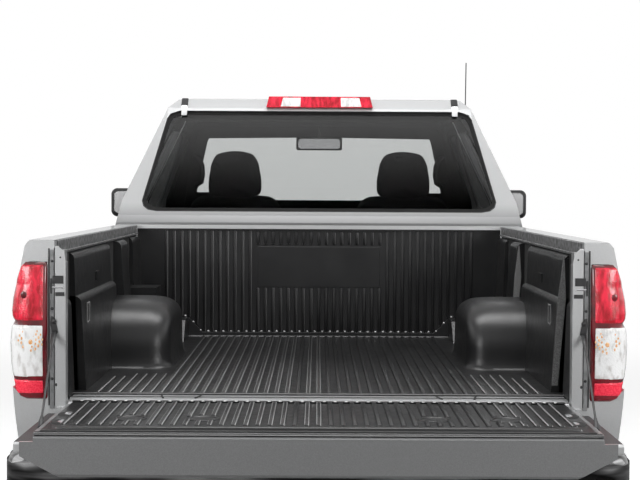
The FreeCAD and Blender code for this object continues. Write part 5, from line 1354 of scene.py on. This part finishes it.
# %% Tyres
WHEELS = {"front_right": (0.785, 4.24, 1), "front_left": (-0.785, 4.24, -1),
          "rear_right": (0.785, 1.04, 1), "rear_left": (-0.785, 1.04, -1)}
HUB_Z = 0.388
SLANT = 0.28
WALL = [(0.093, 0.3785), (0.112, 0.374), (0.121, 0.364), (0.127, 0.345), (0.130, 0.320), (0.1305, 0.300),
        (0.128, 0.275), (0.1275, 0.270), (0.1292, 0.267), (0.1290, 0.261), (0.1250, 0.259), (0.1215, 0.246),
        (0.1180, 0.236), (0.1165, 0.230), (0.1120, 0.225), (0.1090, 0.216), (0.090, 0.207)]


def ring_blocks(form, section, count, share, phase):
    """A ring of blocks: an outline of width and radius that is carried through a small angle."""
    pitch = 2 * math.pi / count
    for k in range(count):
        form.skin([[(u, r * math.cos(a + SLANT * abs(u)), r * math.sin(a + SLANT * abs(u)))
                    for u, r in section] for a in (pitch * (k + phase), pitch * (k + phase + share))])


tyre = Form()
loop = [(-u, r) for u, r in reversed(WALL)] + WALL
tyre.turned(loop + [loop[0]], (0, 0, 0), steps=96)
for u0, u1, phase in ((-0.018, 0.018, 0.0), (0.024, 0.056, 0.5), (-0.056, -0.024, 0.5)):
    ring_blocks(tyre, [(u0, 0.375), (u0, 0.388), (u1, 0.388), (u1, 0.375)], 66, 0.86, phase)
SHOULDER = [(0.062, 0.375), (0.062, 0.388), (0.093, 0.388), (0.108, 0.3835), (0.1205, 0.3745),
            (0.1205, 0.360)]
ring_blocks(tyre, SHOULDER, 66, 0.74, 0.0)
ring_blocks(tyre, [(-u, r) for u, r in SHOULDER], 66, 0.74, 0.5)


def on_wheels(form, name, look, replaced=None, keys=tuple(WHEELS), **how):
    """Puts a copy of a form for the right side on each wheel, turned around on the left."""
    for key in keys:
        x, y, way = WHEELS[key]
        form.placed((x, at(y), HUB_Z), way).piece(name + key, look, body="wheel_" + key,
                                                  instead=replaced and replaced + key, **how)


on_wheels(tyre, "tread_", rubber, "tyre_", smooth=32)
print("tyre:", len(tyre.faces), "faces each")

# %% [markdown]
# ## Wheels and brakes
# The alloy wheel is a lathe-turned barrel with six cast spokes. Every spoke is a loft whose section has
# a shallow groove, and it widens toward the barrel. The hub carries six nuts and a cap. Brake discs
# show between the front spokes, with their calipers fixed to the steering knuckles, and the rear
# wheels have brake drums.

# %% Alloy wheels
rim = Form()
barrel = [(0.109, 0.2155), (0.1125, 0.219), (0.1125, 0.226), (0.107, 0.2285), (0.102, 0.221), (0.086, 0.212),
          (0.070, 0.200), (-0.085, 0.197), (-0.102, 0.213), (-0.110, 0.222), (-0.112, 0.214), (-0.098, 0.191),
          (0.060, 0.190), (0.088, 0.203), (0.100, 0.209)]
rim.turned(barrel + [barrel[0]], (0, 0, 0), steps=90)
STATIONS = ((0.060, 0.034, 0.064), (0.090, 0.027, 0.070), (0.130, 0.026, 0.073), (0.165, 0.032, 0.078),
            (0.190, 0.043, 0.085), (0.206, 0.056, 0.092))
SECTION = ((-1, -0.026), (-1, -0.010), (-0.82, -0.001), (-0.34, 0.0), (-0.16, -0.006), (0.16, -0.006),
           (0.34, 0.0), (0.82, -0.001), (1, -0.010), (1, -0.026))
for k in range(6):
    a = math.radians(90 + 60 * k)
    c, s = math.cos(a), math.sin(a)
    rim.skin([[(face + deep, r * c - share * w * s, r * s + share * w * c) for share, deep in SECTION]
              for r, w, face in STATIONS])
    b = a + math.radians(30)
    rim.turned([(0.060, 0.0001), (0.0775, 0.0001), (0.0780, 0.004), (0.0765, 0.0085), (0.060, 0.0095)],
               (0, 0.057 * math.cos(b), 0.057 * math.sin(b)), steps=6)
rim.turned([(0.010, 0.036), (0.063, 0.036), (0.0665, 0.040), (0.068, 0.066), (0.064, 0.076), (0.050, 0.081),
            (0.010, 0.080), (0.010, 0.036)], (0, 0, 0), steps=48)
rim.turned([(0.058, 0.0355), (0.067, 0.0345), (0.0725, 0.028), (0.0745, 0.014), (0.0745, 0.0001)], (0, 0, 0),
           steps=40)
rim.tube([(0.080, 0.183, 0.0), (0.098, 0.187, 0.0), (0.110, 0.192, 0.0)], 0.004, 10)
on_wheels(rim, "alloy_", alloy, "rim_", bevel=0.0012, smooth=40)
print("wheel:", len(rim.faces), "faces each")

# %% Brakes
disc = Form()
disc.turned([(-0.014, 0.060), (0.004, 0.060), (0.006, 0.084), (-0.002, 0.088), (-0.002, 0.150),
             (-0.022, 0.150), (-0.022, 0.088), (-0.014, 0.084), (-0.014, 0.060)], (0, 0, 0), steps=64)
drum = Form()
drum.turned([(-0.060, 0.060), (0.002, 0.060), (0.004, 0.118), (0.000, 0.132), (-0.008, 0.138),
             (-0.050, 0.138), (-0.056, 0.146), (-0.062, 0.146), (-0.060, 0.060)], (0, 0, 0), steps=64)
for form, keys in ((disc, ("front_right", "front_left")), (drum, ("rear_right", "rear_left"))):
    on_wheels(form, "brake_", cast_iron, keys=keys, bevel=0.0012, smooth=40)
caliper = Form()
caliper.block((-0.050, -0.172, -0.050), (-0.029, -0.105, 0.050))
caliper.block((0.005, -0.172, -0.042), (0.022, -0.118, 0.042))
caliper.block((-0.050, -0.176, -0.042), (0.022, -0.157, 0.042))
for side in SIDES:
    x, y, way = WHEELS["front_" + side]
    caliper.placed((x, at(y), HUB_Z), way).piece("caliper_" + side, cast_iron, body="upright_" + side,
                                                 bevel=0.004)
print("brakes:", 6)

# %% [markdown]
# ## Rear bumper
# The bumper is one pressed and chromed bar. Its section is rounded at both edges and follows a plan line
# that turns forward around the corners, where its upper edge drops. Black pads with raised strips cover
# the step in the middle, and the tow-ball's hole is in a plate of its own.

# %% Rear bumper
PLAN = [(0.0, -0.150), (0.30, -0.150), (0.56, -0.150), (0.70, -0.146), (0.80, -0.135), (0.865, -0.116),
        (0.908, -0.086), (0.932, -0.046), (0.942, 0.0), (0.945, 0.035), (0.944, 0.069)]
LOWER = [(0.034, 0.441), (0.014, 0.443), (0.003, 0.455), (0.0, 0.475), (0.0, 0.545)]
UPPER = [(0.002, 0.575), (0.010, 0.595), (0.026, 0.607), (0.050, 0.611), (0.072, 0.611), (0.072, 0.600),
         (0.050, 0.594), (0.034, 0.580)]
path = [(-x, y) for x, y in reversed(PLAN[1:])] + PLAN
bumper = Form()
rings = []
for i, (x, y) in enumerate(path):
    before = path[max(i - 1, 0)]
    after = path[min(i + 1, len(path) - 1)]
    run = Vector((after[0] - before[0], after[1] - before[1])).normalized()
    drop = 0.036 * min(1, max(0, (abs(x) - 0.80) / 0.13))
    ring = [(x - run.y * inset, at(y + run.x * inset), z) for inset, z in LOWER]
    ring += [(x - run.y * inset, at(y + run.x * inset), z - drop) for inset, z in UPPER]
    rings.append(ring)
bumper.skin(rings)
# Dark and bright level streaks in the chrome's colour: painted reflections of its surroundings.
bumper_chrome = finish("bumper_chrome", (0.4, 0.4, 0.4), 0.1, Metallic=1.0)
tint(bumper_chrome, (0.03, 0.03, 0.03), (0.5, 0.5, 0.505), 7, low=0.46, high=0.68, stretch=(0.5, 0.5, 4))
rough(bumper_chrome, 0.06, 0.14, 9)
bumper.piece("bumper_bar", bumper_chrome, instead="rear_bumper", bevel=0.002, smooth=50)
pads = Form()
pads.prism(plaque((0.10, at(-0.141)), (0.505, at(-0.083)), 0.012), "z", 0.604, 0.6205)
for k in range(5):
    pads.block((0.12, at(-0.134 + 0.0105 * k), 0.6205), (0.485, at(-0.130 + 0.0105 * k), 0.6235))
pads.block((0.395, at(-0.095), 0.470), (0.463, at(-0.060), 0.590))
pads.mirrored()
plate_edge = []
hole_edge = []
for a in angles(32):
    reach = min(0.085 / max(abs(math.cos(a)), 0.001), 0.030 / max(abs(math.sin(a)), 0.001))
    plate_edge.append((reach * math.cos(a), at(-0.116) + reach * math.sin(a)))
    hole_edge.append((0.013 * math.cos(a), at(-0.116) + 0.013 * math.sin(a)))
pads.band([[(x, y, z) for x, y in edge] for edge, z in ((plate_edge, 0.440), (plate_edge, 0.450),
                                                        (hole_edge, 0.450), (hole_edge, 0.440))])
pads.piece("bumper_pads", trim_black, instead="rear_bumper", bevel=0.001)
print("bumper:", len(bumper.faces), "faces")

# %% [markdown]
# ## Edges of the tailgate
# The gate's outer skin reaches past its inner pan on both sides. Its ends are folded around, which gives
# the bright rounded edge at both ends of the gate. A handle is set into the outer skin. With the gate
# closed these ends pass beside the lamps and a centimetre behind the posts. The gate's rim and the
# cab's back get a darker paint of their own: painted shade, and painted reflections of the dark ground
# and the dark bed. On the cab's back the paint is darkest at its foot.

# %% Gate ends
ends = Form()
ends.prism([(at(-0.566), 0.664), (at(-0.5695), 0.668), (at(-0.5695), 0.688), (at(-0.564), 0.6935),
            (at(-0.094), 0.6935), (at(-0.094), 0.662), (at(-0.45), 0.656)], "x", 0.784, 0.8025)


def upward(centre, normal):
    return normal.z > 0.8


def gate_rim(centre, normal):
    return normal.y < -0.5 and centre.y < at(-0.5)


def cab_back(centre, normal):
    return normal.y < -0.25 and centre.y < at(2.05)


ends.mirrored().piece("gate_ends", paint, body="gate", bevel=0.005, steps=3, second=liner_black, pick=upward)
# Painted shade: the gate's rear-facing rim and the cab's back are darker than the silver paint, the cab's
# back most at its foot.
gate_shade = finish("gate_edge_painted_shade", (0.2, 0.202, 0.204), 0.45, Metallic=0.5)
tint(gate_shade, (0.185, 0.187, 0.189), (0.22, 0.222, 0.224), 500)
cab_shade = finish("cab_back_painted_shade", (0.45, 0.453, 0.456), 0.36, Metallic=0.7, Coat_Weight=0.3)
ramp(cab_shade, along(cab_shade, "Z", 1.21, 1.30), (0.20, 0.202, 0.204), (0.43, 0.434, 0.437))
for node, look, pick in (("tailgate", gate_shade, gate_rim), ("cab_shell", cab_shade, cab_back)):
    grain(look, 1400, 0.00001)
    print(node, "shaded faces:", recolour(nodes[node].data, look, pick))
shelf = Form()
shelf.block((0.7515, at(-0.562), 0.6925), (0.7985, at(-0.096), 0.6945))
shelf.mirrored().piece("gate_side_shelf", trim_black, body="gate", bevel=0.0004)
edge_strip = Form()
edge_strip.prism([(at(-0.566), 0.7085), (at(-0.5665), 0.7115), (at(-0.5555), 0.7192), (at(-0.540), 0.7192),
                  (at(-0.540), 0.716), (at(-0.555), 0.716)], "x", -0.7485, 0.7485)
edge_strip.piece("gate_edge_strip", liner_black, body="gate", bevel=0.0008)
handle = Form()
handle.prism(plaque((-0.10, at(-0.45)), (0.10, at(-0.36)), 0.02), "z", 0.6405, 0.650)
handle.prism(plaque((-0.075, at(-0.43)), (0.075, at(-0.385)), 0.014), "z", 0.628, 0.643)
handle.piece("gate_handle", trim_black, body="gate", bevel=0.002)
print("gate ends:", len(ends.faces), "faces")

# %% [markdown]
# ## Door handles, fuel flap and arches
# Each front door has a pull handle in a shallow dish. The fuel flap is on the left side of the bed, a
# round-cornered plate in a dark gap. Over the wheels a plastic lining closes the hollow of each arch.

# %% Body details
pull = Form()
pull.tube([(0.898, at(2.720), 1.086), (0.917, at(2.730), 1.089), (0.925, at(2.760), 1.090),
           (0.927, at(2.800), 1.090), (0.925, at(2.840), 1.089), (0.917, at(2.870), 1.088),
           (0.898, at(2.880), 1.085)], 0.011, 12)
on_doors(pull, "door_handle", paint, smooth=60)
dish = Form()
dome(dish, (0.900, at(2.800), 1.088), (0.004, 0.066, 0.026), 28, 4)
on_doors(dish, "door_handle_dish", trim_black, smooth=60)
rest = Form()
rest.prism([(0.778, 0.935), (0.772, 0.965), (0.782, 0.985), (0.832, 0.985), (0.832, 0.935)], "y",
           at(2.86), at(3.42))
on_doors(rest, "door_armrest", cabin_grey, bevel=0.008)


def bed_side_x(z):
    """How far out the bed's side panel is at this height."""
    return 0.9165 - (0.25 if z < 0.88 else 0.42) * (z - 0.88) ** 2


flap = Form()
gap = Form()
for form, grow, proud in ((gap, 0.004, 0.0006), (flap, 0.0, 0.0012)):
    rings = []
    for k in range(13):
        z = 0.925 - grow + (0.13 + 2 * grow) * k / 12
        cut = 0.02 * (1 - math.sqrt(max(0, 1 - max(0, abs(k - 6) / 6 - 0.7) ** 2 / 0.09)))
        x = -bed_side_x(z)
        rings.append([(x - proud, at(1.60 - grow + cut), z), (x - proud, at(1.74 + grow - cut), z),
                      (x + 0.004, at(1.74 + grow - cut), z), (x + 0.004, at(1.60 - grow + cut), z)])
    form.skin(rings)
gap.piece("fuel_flap_gap", shade_print_and_gap_black, smooth=40)
flap.piece("fuel_flap", paint, smooth=40)
arches = Form()
for y, radius in ((1.04, 0.449), (4.24, 0.468)):
    inner = radius - 0.006
    arches.turned([(0.62, radius), (0.862, radius), (0.862, inner), (0.62, inner), (0.62, radius)],
                  (0, at(y), HUB_Z), steps=40, start=12, end=168)
arches.mirrored().piece("arch_linings", trim_black, smooth=60)
print("body details:", len(arches.faces), "faces")

# %% [markdown]
# ## The front
# Behind the grille's bars is a dark mesh of upright slats. Each headlamp is a clear block with two
# bright bowls behind it. Fog lamps sit in the bumper, and a black cowl with wipers lies in front of the
# windscreen.

# %% Front details
mesh_bars = Form()
mesh_bars.block((-0.488, at(4.896), 0.722), (0.488, at(4.900), 0.904))
for k in range(60):
    x = -0.482 + 0.0163 * k
    mesh_bars.block((x, at(4.900), 0.724), (x + 0.004, at(4.905), 0.902))
for k in range(28):
    x = -0.41 + 0.030 * k
    mesh_bars.block((x, at(4.985), 0.458), (x + 0.010, at(4.990), 0.558))
mesh_bars.block((-0.419, at(4.978), 0.456), (0.419, at(4.985), 0.559))
mesh_bars.piece("grille_mesh", trim_black, bevel=0.0006)
bowls = Form()
BOWL = ((0.0, 0.004), (0.003, 0.02), (0.014, 0.04), (0.036, 0.060), (0.040, 0.064), (0.036, 0.066),
        (0.010, 0.046), (-0.004, 0.02), (-0.006, 0.004))
for x, y, z, size in ((0.600, 4.79, 0.815, 1.0), (0.735, 4.745, 0.818, 0.86)):
    bowls.turned([(h * size, r * size) for h, r in BOWL], (x, at(y), z), axis="y", steps=36)
    dome(bowls, (x, at(y + 0.012), z), (0.012, 0.016, 0.012), 14, 4)
bowls.mirrored().piece("headlamp_bowls", chrome, smooth=60)
fog = Form()
fog.turned([(0.0, 0.0001), (0.004, 0.030), (0.006, 0.040), (0.001, 0.046), (-0.02, 0.047)],
           (0.60, at(5.040), 0.50), axis="y", steps=32)
fog.mirrored().piece("fog_lamps", clear_lens, smooth=50)
cowl = Form()
cowl.prism([(at(3.852), 1.206), (at(3.890), 1.1635), (at(3.916), 1.158), (at(3.916), 1.150),
            (at(3.886), 1.152), (at(3.852), 1.196)], "x", -0.72, 0.72)
for k in range(40):
    x = -0.64 + 0.033 * k
    cowl.block((x, at(3.893), 1.158), (x + 0.012, at(3.912), 1.1635))
cowl.piece("cowl_panel", trim_black, bevel=0.0015)
wipers = Form()
for x0, x1 in ((-0.30, 0.22), (0.28, 0.66)):
    blade = [(x0 + (x1 - x0) * k / 8, 1.222 + 0.030 * k / 8) for k in range(9)]
    wipers.tube([(x, wind_y(z) + 0.028, z) for x, z in blade], 0.005, 8)
    wipers.tube([(x1 - 0.02, at(3.875), 1.192), ((x0 + x1) / 2, at(3.835), 1.243)], 0.006, 8)
wipers.piece("wipers", trim_black, smooth=50)
print("front details:", len(mesh_bars.faces), "faces")

# %% [markdown]
# ## Under the bonnet
# The engine is one CAD block. A ribbed cover, an air box, a battery, a reservoir, the brake booster and
# the radiator's core dress it, because they are what shows when the bonnet is open.

# %% Engine bay
bay = Form()
bay.prism(plaque((-0.22, at(4.08)), (0.22, at(4.56)), 0.04), "z", 0.880, 0.945)
for k in range(6):
    bay.block((-0.17 + 0.06 * k, at(4.12), 0.945), (-0.13 + 0.06 * k, at(4.52), 0.955))
bay.block((0.36, at(4.36), 0.760), (0.60, at(4.62), 0.935))
bay.block((0.35, at(4.35), 0.900), (0.61, at(4.63), 0.912))
bay.tube([(0.20, at(4.46), 0.920), (0.28, at(4.49), 0.930), (0.38, at(4.49), 0.890)], 0.038, 16)
bay.block((-0.60, at(4.38), 0.740), (-0.40, at(4.60), 0.905))
bay.block((-0.605, at(4.375), 0.895), (-0.395, at(4.605), 0.918))
bay.tube([(-0.18, at(4.64), 0.86), (-0.24, at(4.655), 0.80), (-0.27, at(4.66), 0.72)], 0.02, 12)
bay.turned([(0.0, 0.0001), (-0.02, 0.06), (-0.04, 0.115), (-0.08, 0.125), (-0.11, 0.115)],
           (-0.40, at(4.06), 0.90), axis="y", steps=36)
bay.tube([(-0.40, at(4.04), 0.90), (-0.40, at(4.17), 0.90)], 0.025, 14)
bay.piece("engine_dress", trim_black, bevel=0.004)
tanks = Form()
tanks.prism(plaque((0.42, at(4.08)), (0.60, at(4.24)), 0.03), "z", 0.82, 0.93)
tanks.turned([(0.0, 0.022), (0.018, 0.022), (0.020, 0.016), (0.020, 0.0001)], (0.51, at(4.16), 0.93),
             axis="z", steps=24)
tanks.prism(plaque((-0.43, at(4.12)), (-0.37, at(4.20)), 0.012), "z", 0.92, 0.965)
tanks.piece("engine_tanks", clear_lens, bevel=0.004)
core = Form()
core.block((-0.32, at(4.655), 0.59), (0.32, at(4.680), 0.850))
for k in range(24):
    z = 0.600 + 0.0104 * k
    core.block((-0.31, at(4.680), z), (0.31, at(4.686), z + 0.004))
core.piece("radiator_core", steel, bevel=0.0008)
print("engine bay:", len(bay.faces), "faces")

# %% [markdown]
# ## The dashboard and the steering wheel
# Round dials sit under the small cowl in front of the driver. Air vents, a screen and knobs fill the
# middle, and a lever stands on the console. The wheel's hub has a padded cover.

# %% Dashboard
dash = Form()
for x in (-0.46, -0.28):
    dash.turned([(0.0, 0.0001), (0.0, 0.066), (-0.006, 0.068), (-0.008, 0.072), (-0.004, 0.076),
                 (0.0, 0.076)], (x, at(3.4395), 1.105), axis="y", steps=40)
for x in (-0.62, -0.11, 0.11, 0.60):
    for z in (1.000, 1.012, 1.024, 1.036, 1.048):
        dash.block((x - 0.045, at(3.432), z), (x + 0.045, at(3.441), z + 0.006))
for x in (-0.06, 0.0, 0.06):
    dash.turned([(0.0, 0.020), (-0.014, 0.019), (-0.018, 0.016), (-0.018, 0.0001)], (x, at(3.440), 0.930),
                axis="y", steps=28)
dash.prism(plaque((-0.085, 0.965), (0.085, 0.993), 0.006), "y", at(3.436), at(3.441))
dash.prism(plaque((0.24, 0.915), (0.62, 0.985), 0.02), "y", at(3.434), at(3.441))
dash.tube([(0.0, at(3.10), 0.838), (0.0, at(3.095), 0.90), (0.0, at(3.085), 0.945)], 0.009, 12)
dome(dash, (0.0, at(3.083), 0.957), (0.020, 0.022, 0.024), 20, 6)
dome(dash, (0.0, at(3.10), 0.842), (0.055, 0.07, 0.014), 28, 4)
dash.piece("dash_details", trim_black, bevel=0.001)
pad = Form()
pad.prism(plaque((-0.085, -0.07), (0.085, 0.055), 0.035), "z", 0.004, 0.026)
WHEEL_MIDDLE = (-0.370, at(3.300), 1.060)
WHEEL_LEAN = 66
tilted = Matrix.Translation(WHEEL_MIDDLE) @ Matrix.Rotation(math.radians(WHEEL_LEAN), 4, "X")
pad.points = [tuple(tilted @ Vector(p)) for p in pad.points]
pad.piece("steering_pad", trim_black, body="steering", bevel=0.008, steps=3)
print("dashboard:", len(dash.faces), "faces")
